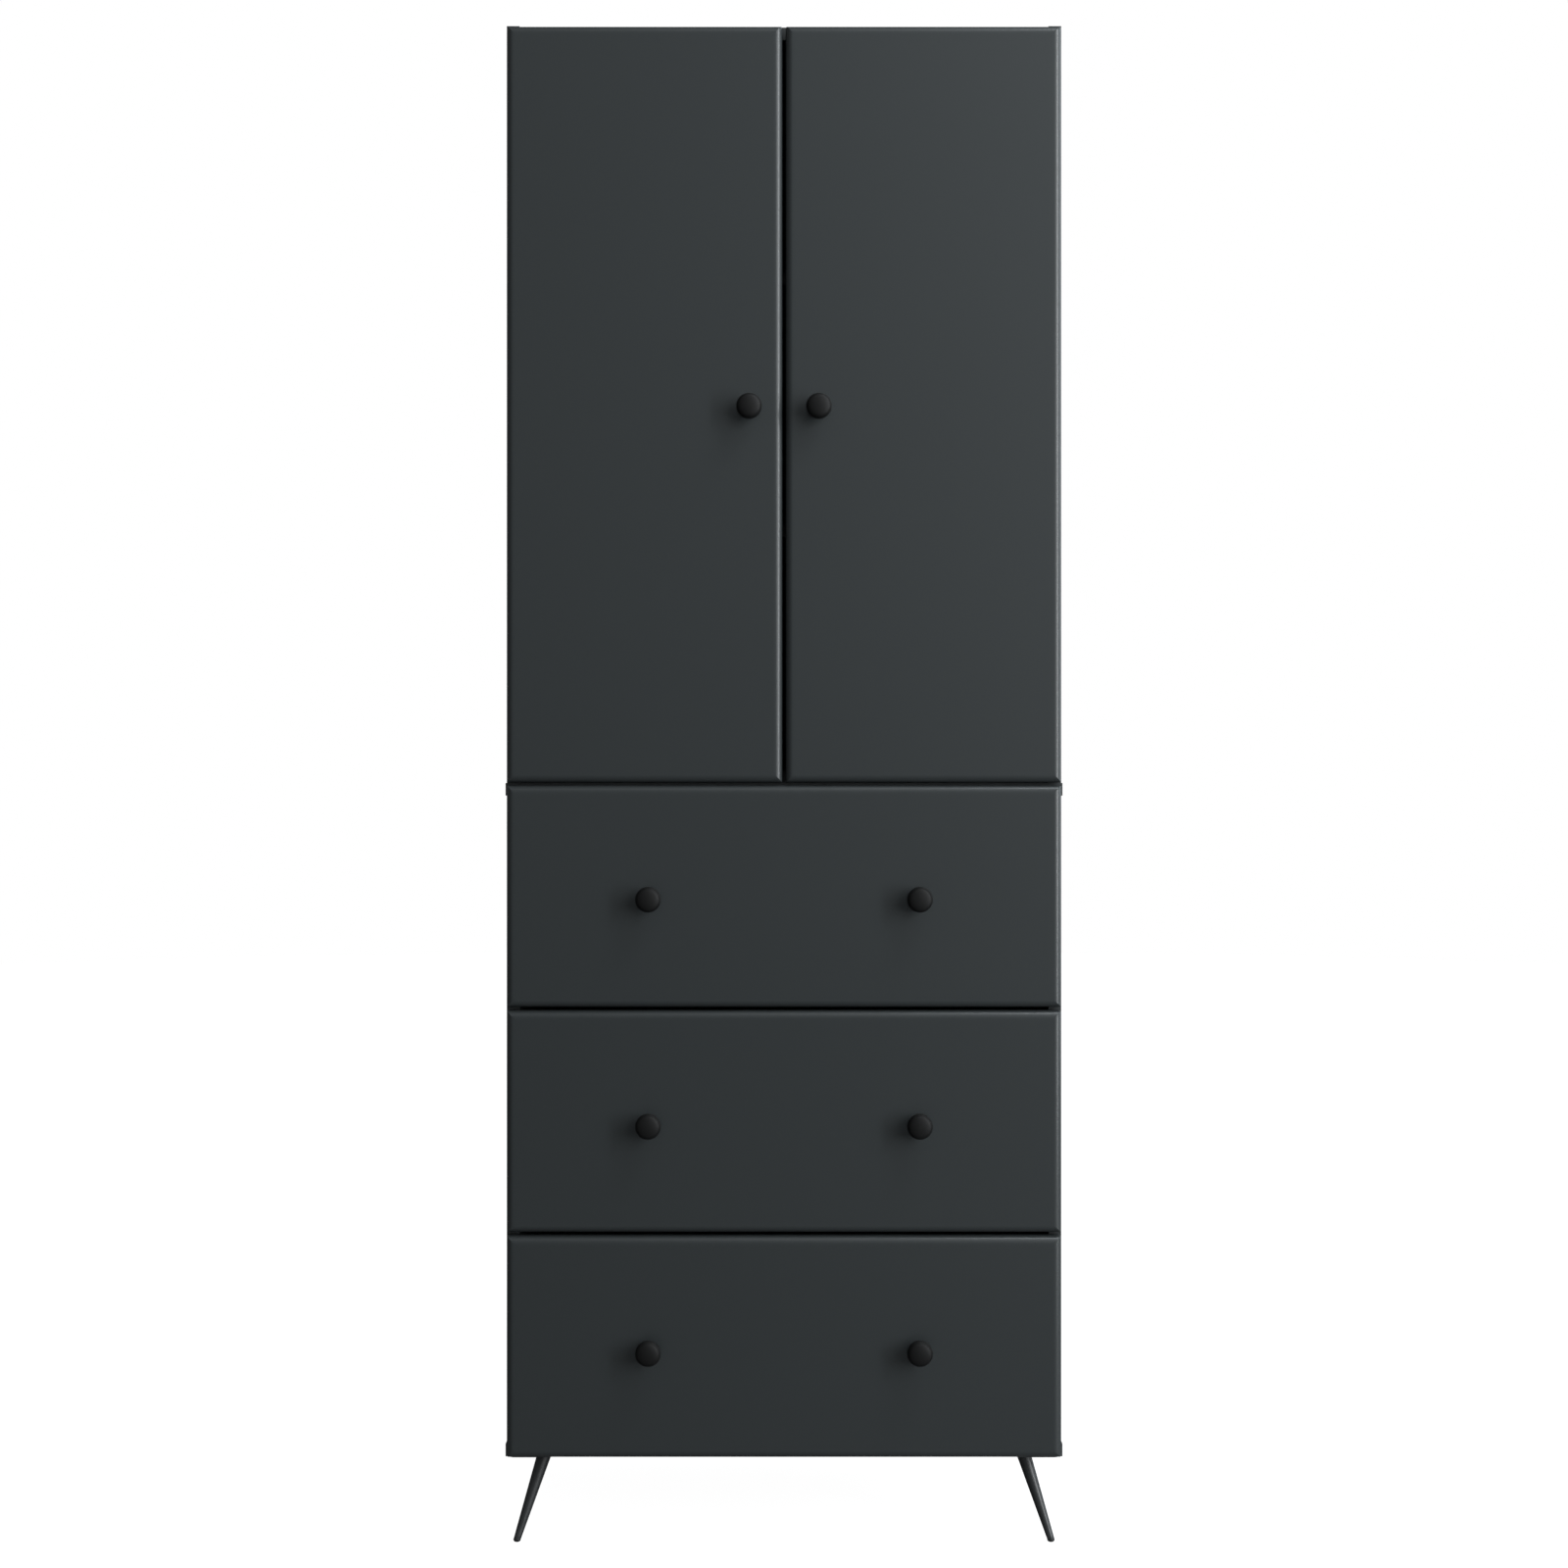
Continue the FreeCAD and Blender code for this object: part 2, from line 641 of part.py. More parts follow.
def leg_axis():
    """Top and lower end of the leg's centre line in the plate's local frame."""
    top = Vector(DIMENSIONS["leg_top_inset"], DIMENSIONS["leg_top_inset"], 0)
    drop = DIMENSIONS["leg_height"] - DIMENSIONS["plate_thick"]
    tip = Vector(DIMENSIONS["leg_tip_inset"], DIMENSIONS["leg_tip_inset"], -drop)
    return top, tip


def make_front_left_leg():
    """Plate and tapered, splayed rod as one welded piece, with its tip cut level above the foot pad."""
    plate = make_leg_plate()
    top, tip = leg_axis()
    slope = tip - top
    over = DIMENSIONS["weld_overlap"]
    start = top - slope / slope.Length * over
    cone = doc.addObject("Part::Cone", "leg_rod")
    cone.setExpression("Radius1", "dims.leg_top_radius")
    cone.setExpression("Radius2", "dims.leg_tip_radius")
    cone.Height = slope.Length + 2 * over
    cone.Placement = Placement(start, Rotation(Vector(0, 0, 1), slope))
    room = ("4 * dims.plate_side", "4 * dims.plate_side", "dims.plate_side")
    away = "-2 * dims.plate_side"
    above = box("above_plate", room, (away, away, "0"))
    tip_z = "-(dims.leg_height - dims.plate_thick - dims.pad_height)"
    below = box("below_tip", room, (away, away, f"{tip_z} - dims.plate_side"))
    trimmed = cut("leg_rod_trimmed", cone, [above, below])
    piece = fuse("leg_welded", [plate, trimmed])
    holes = []
    for across, along in LEG_SCREWS:
        start = (str(across), str(along), "-dims.plate_thick")
        holes.append(rod("plate_hole", "dims.screw_radius", "3 * dims.plate_thick", start, "+z"))
    return cut("leg_master", piece, holes)


def make_foot_pad():
    """A small plastic foot with a rounded lower edge, standing on the floor under the leg's tip."""
    body = doc.addObject("PartDesign::Body", "foot_pad_body")
    outline = sketch_on(body, "foot_outline", "XY_Plane")
    draw_circle(outline, "dims.pad_radius")
    foot = pad(body, outline, "dims.pad_height")
    low = edges_where(foot.Shape, lambda e: e.BoundBox.ZMax < 0.1)
    fillet(body, foot, low, "dims.pad_round")
    return body


def turned_copies(name, source):
    """The piece at the front left, and its reflections at the other three corners."""
    right = mirrored(name + "_fr", source)
    rear_left = doc.addObject("Part::Mirroring", name + "_rl")
    rear_left.Source = source
    rear_left.Normal = Vector(0, 1, 0)
    face_y = DIMENSIONS["knob_reach"] - (DIMENSIONS["overall_depth"] + DIMENSIONS["knob_reach"]) / 2
    case_front = face_y + DIMENSIONS["face_thick"] + DIMENSIONS["bumper"]
    case_back = face_y + DIMENSIONS["overall_depth"]
    rear_left.Base = Vector(0, (case_front + case_back) / 2, 0)
    rear_right = mirrored(name + "_rr", rear_left)
    return {"front_left": source, "front_right": right, "rear_left": rear_left, "rear_right": rear_right}


def make_legs():
    """Four legs and their foot pads."""
    corner = ("-(dims.board_width / 2 - dims.plate_inset)", f"{CASE_Y} + dims.plate_inset",
              "dims.leg_height - dims.plate_thick")
    leg = fuse_copy("leg_front_left", make_front_left_leg(), corner)
    for where, piece in turned_copies("leg", leg).items():
        keep(piece, f"{where}_leg")
    reach = tip_inset_at_pad()
    pad_x = f"-(dims.board_width / 2 - dims.plate_inset - {reach})"
    pad_at = (pad_x, f"{CASE_Y} + dims.plate_inset + {reach}", "0")
    foot = fuse_copy("foot_front_left", make_foot_pad(), pad_at)
    keep(group("foot_group", list(turned_copies("foot", foot).values())), "foot_pads")


def tip_inset_at_pad():
    """How far in from the plate's corner the leg's centre line is at the top of the foot pad."""
    top, tip = leg_axis()
    share = DIMENSIONS["pad_height"] / (DIMENSIONS["leg_height"] - DIMENSIONS["plate_thick"])
    return round(tip.x + (top.x - tip.x) * share, 2)


def fuse_copy(name, source, corner):
    """A placed copy of a master piece as a plain solid of its own."""
    link = copy_at(name + "_link", source, *corner)
    return group(name, [link])


# ---------------------------------------------------------------- fronts

def front_panel(name, width, height, knob_places, cups=()):
    """A front with rounded front edges and knob holes, its rear face on the local XZ plane."""
    body = doc.addObject("PartDesign::Body", name)
    outline = sketch_on(body, name + "_outline", "XZ_Plane")
    draw_rectangle(outline, width, height)
    slab = pad(body, outline, "dims.face_thick")
    front_y = -DIMENSIONS["face_thick"]
    front_edges = edges_where(slab.Shape, lambda e: e.BoundBox.YMax < front_y + 0.01)
    fillet(body, slab, front_edges, "dims.face_round")
    holes = sketch_on(body, name + "_knob_holes", "XZ_Plane")
    for x, z in knob_places:
        draw_circle(holes, "dims.knob_screw_radius", x, z)
    pocket(body, holes, "dims.face_thick", reverse=True)
    if cups:
        wells = sketch_on(body, name + "_cup_wells", "XZ_Plane")
        for x, z in cups:
            draw_circle(wells, "dims.cup_radius", x, z)
        pocket(body, wells, "dims.cup_depth", reverse=True)
    return body


def make_knob():
    """A turned knob, its foot on the local XZ plane and its head towards -Y."""
    body = doc.addObject("PartDesign::Body", "knob_master")
    profile = sketch_on(body, "knob_profile", "XY_Plane")
    size = DIMENSIONS
    head = size["knob_radius"]
    neck = size["knob_neck"]
    foot = size["knob_foot"]
    tip_y = -size["knob_reach"]
    crown_y = tip_y + size["knob_crown"]
    shoulder = Vector(head / 2 ** 0.5, tip_y + size["knob_shoulder"], 0)
    side = [
        (0, 0),
        (foot, 0),
        (foot, -size["knob_flange"]),
        (neck, -size["knob_neck_start"]),
        (neck, -size["knob_neck_end"]),
        (size["knob_flare_radius"], -size["knob_flare"]),
        (head, -size["knob_widest"]),
        (head, crown_y),
    ]
    outline = [Part.LineSegment(Vector(*a, 0), Vector(*b, 0)) for a, b in zip(side, side[1:])]
    round_middle = Vector(head - 1.4, crown_y - 2.9, 0)
    outline.append(Part.Arc(shoulder, round_middle, Vector(head, crown_y, 0)))
    crown_middle = Vector(shoulder.x / 2, tip_y + 0.65, 0)
    outline.append(Part.Arc(Vector(0, tip_y, 0), crown_middle, shoulder))
    outline.append(Part.LineSegment(Vector(0, tip_y, 0), Vector(0, 0, 0)))
    for curve in outline:
        profile.addGeometry(curve)
    turned = body.newObject("PartDesign::Revolution", "knob_turned")
    turned.Profile = profile
    turned.ReferenceAxis = (profile, ["V_Axis"])
    turned.Angle = 360
    doc.recompute()
    bore = sketch_on(body, "knob_bore", "XZ_Plane")
    draw_circle(bore, "dims.knob_screw_radius")
    pocket(body, bore, "dims.knob_screw_grip", reverse=True)
    return body


def knob_screw(name, x, y, z):
    """A machine screw through the front panel into the knob, its head on the panel's rear face."""
    shank_length = "dims.face_thick + dims.knob_screw_grip"
    shank = rod(name + "_shank", "dims.knob_screw_radius", shank_length, (x, y, z), "-y")
    head = rod(name + "_head", "dims.knob_screw_head", "dims.knob_screw_cap", (x, y, z), "+y")
    return fuse(name, [shank, head])


def is_flange_corner(edge):
    """True for the four short edges across the flange's thickness."""
    extent = edge.BoundBox
    thick = DIMENSIONS["cup_flange_thick"]
    beyond_cup = abs(extent.ZMin) > DIMENSIONS["cup_radius"] + DIMENSIONS["cup_flange_round"]
    return beyond_cup and extent.XLength < 0.01 and abs(extent.YLength - thick) < 0.1 * thick


def make_cup():
    """A hinge cup: rim on the local XZ plane, well towards -Y, flange standing behind the door."""
    body = doc.addObject("PartDesign::Body", "cup_master")
    outline = sketch_on(body, "cup_outline", "XZ_Plane")
    draw_circle(outline, "dims.cup_radius")
    pad(body, outline, "dims.cup_depth")
    flange = sketch_on(body, "cup_flange", "XZ_Plane")
    draw_rectangle(flange, "dims.cup_flange_width", "dims.cup_flange_height",
                   "-dims.cup_flange_width / 2", "-dims.cup_flange_height / 2")
    wings = pad(body, flange, "dims.cup_flange_thick", reverse=True)
    fillet(body, wings, edges_where(wings.Shape, is_flange_corner), "dims.cup_flange_round")
    well = sketch_on(body, "cup_well", "XZ_Plane")
    draw_circle(well, "dims.cup_radius - dims.cup_wall")
    pocket(body, well, "2 * (dims.cup_depth - dims.cup_flange_thick)", centred=True)
    holes = sketch_on(body, "cup_holes", "XZ_Plane")
    for z in CUP_SCREWS:
        draw_circle(holes, "dims.screw_radius", "0", str(z))
    pocket(body, holes, "4 * dims.cup_flange_thick", centred=True)
    return body


def make_doors(knob, cup):
    """Both doors with their knobs, hinge cups and screws."""
    width = "(dims.face_width - dims.face_gap) / 2"
    knob_x = "dims.door_knob_inset"
    cup_x = f"({width} - dims.cup_centre)"
    cup_rises = ("dims.hinge_end", "(dims.door_height - dims.hinge_end)")
    panel = front_panel("door_panel", width, "dims.door_height", [(knob_x, "dims.door_knob_rise")],
                        [(cup_x, rise) for rise in cup_rises])
    corner = ("dims.face_gap / 2", DOOR_BACK_Y, "dims.door_base")
    screw_y = f"{DOOR_BACK_Y} + dims.cup_flange_thick"
    knob_at = (f"dims.face_gap / 2 + {knob_x}", FACE_Y, "dims.door_base + dims.door_knob_rise")
    cups = []
    screws = [knob_screw("door_knob_screw", knob_at[0], DOOR_BACK_Y, knob_at[2])]
    for rise in cup_rises:
        x = f"dims.face_gap / 2 + {cup_x}"
        z = f"dims.door_base + {rise}"
        cups.append(copy_at("cup", cup, x, DOOR_BACK_Y, z))
        for shift in CUP_SCREWS:
            seat = (x, screw_y, f"{z} + {shift}")
            shank = rod("cup_shank", "dims.screw_radius", "dims.screw_depth", seat, "-y")
            head = rod("cup_head", "dims.cup_screw_head", "dims.cup_screw_cap", seat, "+y")
            screws.append(fuse("cup_screw", [shank, head]))
    cup_shanks = [piece.Shapes[0] for piece in screws[1:]]
    placed = fuse_copy("right_panel", panel, corner)
    pieces = {
        "door_panel": cut("right_panel_drilled", placed, cup_shanks),
        "door_knob": fuse_copy("right_knob", knob, knob_at),
        "hinge_cups": group("right_cups", cups),
        "door_screws": group("right_door_screws_group", screws),
    }
    for what, piece in pieces.items():
        keep(piece, f"right_{what}")
        keep(mirrored(what + "_twin", piece), f"left_{what}")


def make_hinge_arm():
    """A channel arm with two ears and a pivot pin. Local X runs inward from the door's edge, Y forward."""
    body = doc.addObject("PartDesign::Body", "hinge_arm_master")
    outline = sketch_on(body, "arm_outline", "XY_Plane")
    draw_rectangle(outline, "dims.arm_thick", "dims.arm_length",
                   f"{HINGE_SEAT} + dims.hinge_plate_thick", "-dims.arm_end")
    pad(body, outline, "dims.arm_height", centred=True)
    ears = sketch_on(body, "arm_ears", "XY_Plane")
    draw_lines(ears, EAR_OUTLINE)
    pad(body, ears, "dims.arm_height", centred=True)
    hollow = sketch_on(body, "arm_hollow", "XY_Plane")
    draw_lines(hollow, ARM_HOLLOW_OUTLINE)
    pocket(body, hollow, "dims.arm_bore_height", centred=True)
    pin = sketch_on(body, "arm_pin", "XY_Plane")
    draw_circle(pin, "dims.arm_pin_radius", "dims.link_pivot_in", "-dims.link_pivot_back")
    pad(body, pin, "dims.arm_height", centred=True)
    return body


def make_hinge_plate():
    """A cross plate: wings for the screws and a rail for the arm. Same local frame as the arm."""
    row = "-(dims.hinge_plate_row + dims.bumper)"
    wing_size = ("dims.hinge_plate_thick", "dims.hinge_plate_width", "dims.hinge_plate_height")
    wing_corner = (HINGE_SEAT, f"{row} - dims.hinge_plate_width / 2", "-dims.hinge_plate_height / 2")
    wings = box("plate_wings", wing_size, wing_corner)
    rail_size = ("dims.hinge_rail_thick", "dims.hinge_rail_length", "dims.hinge_rail_height")
    rail = box("plate_rail", rail_size, (HINGE_SEAT, "-dims.hinge_rail_end", "-dims.hinge_rail_height / 2"))
    cross = fuse("plate_cross", [wings, rail])
    bore_x = f"{HINGE_SEAT} - dims.hinge_plate_thick"
    bore = "4 * dims.hinge_plate_thick"
    holes = [rod("plate_bore", "dims.screw_radius", bore, (bore_x, row, str(shift)), "+x")
             for shift in HINGE_PLATE_SCREWS]
    return cut("hinge_plate_master", cross, holes)


def make_hinge_link():
    """A bowed steel link along local +X, bored for the arm's pin at one end and rounded at the other."""
    chord = DIMENSIONS["link_chord"]
    bow = DIMENSIONS["link_bow"]
    half = DIMENSIONS["link_half"]
    mean = (chord * chord / 4 + bow * bow) / (2 * bow)
    wide = DIMENSIONS["link_height"]
    low = -wide / 2
    centre = Vector(chord / 2, mean - bow, low)
    ring = Part.makeCylinder(mean + half, wide, centre).cut(Part.makeCylinder(mean - half, wide, centre))
    depth = bow + 2 * half
    bar = ring.common(Part.makeBox(chord, depth, wide, Vector(0, -depth, low)))
    eye = Part.makeCylinder(DIMENSIONS["link_eye"], wide, Vector(0, 0, low))
    nose = Part.makeCylinder(half, wide, Vector(chord, 0, low))
    solid = bar.fuse([eye, nose]).removeSplitter()
    solid = solid.cut(Part.makeCylinder(DIMENSIONS["link_bore"], wide, Vector(0, 0, low)))
    feature = doc.addObject("Part::Feature", "hinge_link_master")
    feature.Shape = solid
    return feature


def make_hinges():
    """Arms and plates on the sides and the links between arm and cup, on both sides and at both heights."""
    arm = make_hinge_arm()
    plate = make_hinge_plate()
    link = make_hinge_link()
    edge_x = "dims.face_width / 2"
    members = {"hinge_arms": [], "hinge_plates": []}
    links = []
    for height in DOOR_HINGE_HEIGHTS:
        for source, what in ((arm, "hinge_arms"), (plate, "hinge_plates")):
            flipped = doc.addObject("App::Link", what + "_copy")
            flipped.LinkedObject = source
            place_hinge(flipped, edge_x, height, 0.0, "0", "0")
            members[what].append(flipped)
        turned = doc.addObject("App::Link", "link_copy")
        turned.LinkedObject = link
        place_hinge(turned, edge_x, height, LINK_REST_TURN, "dims.link_pivot_in", "dims.link_pivot_back")
        links.append(turned)
    right = group("right_hinge_arms", members["hinge_arms"] + members["hinge_plates"])
    keep(group("all_hinge_arms", [right, mirrored("left_hinge_arms", right)]), "hinge_arms_and_plates")
    right_links = group("right_links", links)
    keep(right_links, "right_hinge_links")
    keep(mirrored("left_links", right_links), "left_hinge_links")


def place_hinge(piece, edge_x, height, turn, inward, back):
    """Put a hinge piece at a door's outer rear edge: local X points inward and local Y to the front."""
    base = Rotation(Vector(0, 0, 1), 180)
    piece.Placement = Placement(Vector(), base * Rotation(Vector(0, 0, 1), turn))
    piece.setExpression("Placement.Base.x", f"{edge_x} - {inward}")
    piece.setExpression("Placement.Base.y", f"{DOOR_BACK_Y} + {back}")
    piece.setExpression("Placement.Base.z", height)


# ---------------------------------------------------------------- drawers

def channel(name, tall, depth, open_inward):
    """A rolled steel channel along +Y with its web at local X = 0 and its flanges towards +X or -X."""
    steel = "dims.runner_steel"
    web = box(name + "_web", (steel, "dims.runner_length", tall), ("0", "0", f"-({tall}) / 2"))
    flange_x = "0" if open_inward else f"{steel} - {depth}"
    flanges = []
    for low in (f"-({tall}) / 2", f"({tall}) / 2 - {steel}"):
        flanges.append(box(name + "_flange", (depth, "dims.runner_length", steel), (flange_x, "0", low)))
    return fuse(name, [web] + flanges)


def make_runner_masters():
    """The three nested members of a telescopic runner, for the left side."""
    return {
        "cabinet": channel("cabinet_member", "dims.outer_runner", "dims.outer_runner_depth", True),
        "middle": channel("middle_member", "dims.middle_runner", "dims.middle_runner_depth", True),
        "drawer": channel("drawer_member", "dims.inner_runner", "dims.inner_runner_depth", False),
    }


def runner_offsets():
    """How far each member's web stands from the side."""
    return {
        "cabinet": "0",
        "middle": "2 * dims.runner_steel",
        "drawer": "dims.runner_room - dims.runner_steel",
    }


def runner_piece(kind, masters, index):
    """One member of one drawer's left runner, in place."""
    x = f"-{INNER_X} + {runner_offsets()[kind]}"
    y = f"{CASE_Y} + dims.runner_setback"
    return copy_at(kind + "_runner", masters[kind], x, y, runner_centre_z(index))


def drilled_runner(kind, masters, index, holes):
    """The pair of left and right members of one drawer, bored for their screws."""
    left = group(kind + "_runner_solid", [runner_piece(kind, masters, index)])
    if holes:
        left = cut(kind + "_runner_bored", left, holes)
    return group(kind + "_runner_pair", [left, mirrored(kind + "_runner_right", left)])


def make_runners(masters):
    """Cabinet members as one node, and a moving pair of middle members for each drawer."""
    fixed = []
    for name, index in DRAWERS.items():
        places = runner_screw_places(-1)[2 * index:2 * index + 2]
        holes = [rod("runner_bore", "dims.screw_radius", "dims.screw_depth", start, turn)
                 for start, turn in places]
        fixed.append(drilled_runner("cabinet", masters, index, holes))
        keep(drilled_runner("middle", masters, index, []), f"{name}_runner_middles")
    keep(group("cabinet_members", fixed), "cabinet_runners")


def make_drawer(name, index, panel, knob, masters):
    """One drawer: front, sides, back, bottom, knobs with their screws and runner members."""
    base = f"(dims.drawer_base + {index} * (dims.drawer_height + dims.face_gap))"
    low = f"({base} + dims.box_rise)"
    outer = f"({INNER_X} - dims.runner_room)"
    floor_z = f"({low} + dims.box_floor_rise)"
    floor_x = f"({outer} - dims.box_thick + dims.groove)"
    floor_length = "dims.box_length + dims.groove - dims.box_floor_short"
    floor = box(name + "_floor", (f"2 * {floor_x}", floor_length, "dims.box_floor"),
                (f"-{floor_x}", f"{DOOR_BACK_Y} - dims.groove", floor_z))
    front = fuse_copy(name + "_front_panel", panel, ("-dims.face_width / 2", DOOR_BACK_Y, base))
    keep(cut(name + "_front_grooved", front, [floor]), f"{name}_drawer_front")
    left = box(name + "_side_blank", ("dims.box_thick", "dims.box_length", "dims.box_height"),
               (f"-{outer}", DOOR_BACK_Y, low))
    side = cut(name + "_side", left, [floor])
    keep(side, f"{name}_drawer_left_side")
    keep(mirrored(name + "_side_right", side), f"{name}_drawer_right_side")
    back_x = f"({outer} - dims.box_thick)"
    back_size = (f"2 * {back_x}", "dims.box_thick", "dims.box_height - dims.box_floor_rise")
    back_corner = (f"-{back_x}", f"{DOOR_BACK_Y} + dims.box_length - dims.box_thick", floor_z)
    back = box(name + "_back_blank", back_size, back_corner)
    keep(cut(name + "_back", back, [floor]), f"{name}_drawer_back")
    keep(floor, f"{name}_drawer_bottom")
    knobs = []
    knob_z = f"{base} + dims.drawer_height / 2 - dims.drawer_knob_drop"
    for sign in SIGNS.values():
        x = f"{sign} * dims.drawer_knob_span / 2"
        knobs.append(copy_at(name + "_knob", knob, x, FACE_Y, knob_z))
        knobs.append(knob_screw(name + "_knob_screw", x, DOOR_BACK_Y, knob_z))
    keep(group(name + "_knobs", knobs), f"{name}_drawer_knobs")
    keep(drilled_runner("drawer", masters, index, []), f"{name}_drawer_slides")


def make_drawers(knob):
    """Three equal drawers, one above the other."""
    masters = make_runner_masters()
    knob_z = "dims.drawer_height / 2 - dims.drawer_knob_drop"
    places = [(f"(dims.face_width {way} dims.drawer_knob_span) / 2", knob_z) for way in ("-", "+")]
    panel = front_panel("drawer_panel", "dims.face_width", "dims.drawer_height", places)
    for name, index in DRAWERS.items():
        make_drawer(name, index, panel, knob, masters)
    make_runners(masters)


# ---------------------------------------------------------------- output

def check_document():
    """Stop if any object failed to rebuild."""
    for obj in doc.Objects:
        if "Invalid" in obj.State or "Error" in obj.State:
            raise ValueError(f"{obj.Name} ({obj.Label}) did not rebuild: {obj.State}")


def write_nodes():
    """Write every sub-part as its own file."""
    os.makedirs("parts", exist_ok=True)
    for obj in nodes:
        shape = obj.Shape
        if shape.isNull() or not shape.isValid():
            raise ValueError(f"{obj.Label} has no valid shape")
        shape.exportStep(f"parts/{obj.Label}.step")
        print(f"{obj.Label}: {len(shape.Solids)} solids, {shape.Volume / 1000:.1f} cm3")


make_sheet()
knob_master = make_knob()
cup_master = make_cup()
make_carcass()
make_wall_brackets()
make_legs()
make_doors(knob_master, cup_master)
make_hinges()
make_drawers(knob_master)
doc.recompute()
check_document()
write_nodes()
print(f"{len(nodes)} nodes")
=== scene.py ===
"""Highboard wardrobe with doors and drawers: its visible pieces and finishes, in metres.

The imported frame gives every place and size. The front faces -Y and the floor is at Z = 0.
"""
import json
import logging
from collections.abc import Callable, Iterator
from dataclasses import dataclass, field
from enum import Enum
from math import atan2, copysign, cos, pi, radians, sin
from typing import ClassVar

import bmesh
import bpy
from bmesh.types import BMesh
from bpy.types import ID, Material, Mesh, Node, NodeSocket, NodeTree, Object
from mathutils import Matrix, Vector


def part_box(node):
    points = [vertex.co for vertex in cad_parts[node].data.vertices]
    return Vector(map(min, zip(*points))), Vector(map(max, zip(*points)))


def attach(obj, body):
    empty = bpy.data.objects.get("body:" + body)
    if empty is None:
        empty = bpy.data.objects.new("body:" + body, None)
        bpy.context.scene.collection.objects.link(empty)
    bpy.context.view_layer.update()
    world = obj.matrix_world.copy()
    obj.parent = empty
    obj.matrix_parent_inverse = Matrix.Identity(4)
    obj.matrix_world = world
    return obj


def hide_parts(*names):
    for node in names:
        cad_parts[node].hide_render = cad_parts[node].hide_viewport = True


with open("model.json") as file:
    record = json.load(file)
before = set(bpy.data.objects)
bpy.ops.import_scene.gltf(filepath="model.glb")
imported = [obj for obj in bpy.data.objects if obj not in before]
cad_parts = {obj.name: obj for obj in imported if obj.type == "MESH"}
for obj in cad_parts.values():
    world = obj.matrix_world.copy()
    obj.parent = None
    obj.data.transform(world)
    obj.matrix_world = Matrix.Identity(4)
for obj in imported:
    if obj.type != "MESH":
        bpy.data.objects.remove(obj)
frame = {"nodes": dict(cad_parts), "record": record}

Socket = str | int
Wire = tuple[Node, Socket, Node, Socket]
Rgb = tuple[float, float, float]
Paints = dict[str, Material]

LOG = logging.getLogger("highboard")
MM = 0.001
SAME_POINT = 1e-6
CORNER_STEPS = 6
DRAWERS = ("bottom", "middle", "top")
SIDES = ("left", "right")


class Facing(Enum):
    """Which way a fastener's head looks, as the turn of a head modelled looking up."""

    DOWN = (pi, 0.0, 0.0)
    BACK = (-pi / 2, 0.0, 0.0)
    FRONT = (pi / 2, 0.0, 0.0)
    LEFT = (0.0, -pi / 2, 0.0)
    RIGHT = (0.0, pi / 2, 0.0)


class Recess(Enum):
    """The drive cut in a fastener's head."""

    NONE = 0
    CROSS = 4


# ---- node groups

def wire(tree: NodeTree, *wires: Wire) -> None:
    """Link nodes of a tree.

    Args:
        tree: the tree.
        wires: each a source node, its output, a target node and its input.
    """
    for source, output, target, entry in wires:
        tree.links.new(source.outputs[output], target.inputs[entry])


def product(tree: NodeTree, kind: str = "ShaderNodeMath") -> Node:
    """Add a node that multiplies two values, or two vectors where its kind is the vector one."""
    node = tree.nodes.new(kind)
    node.operation = "MULTIPLY"
    return node


def colour_blend(tree: NodeTree) -> Node:
    """Add a node that blends two colours."""
    node = tree.nodes.new("ShaderNodeMix")
    node.data_type = "RGBA"
    return node


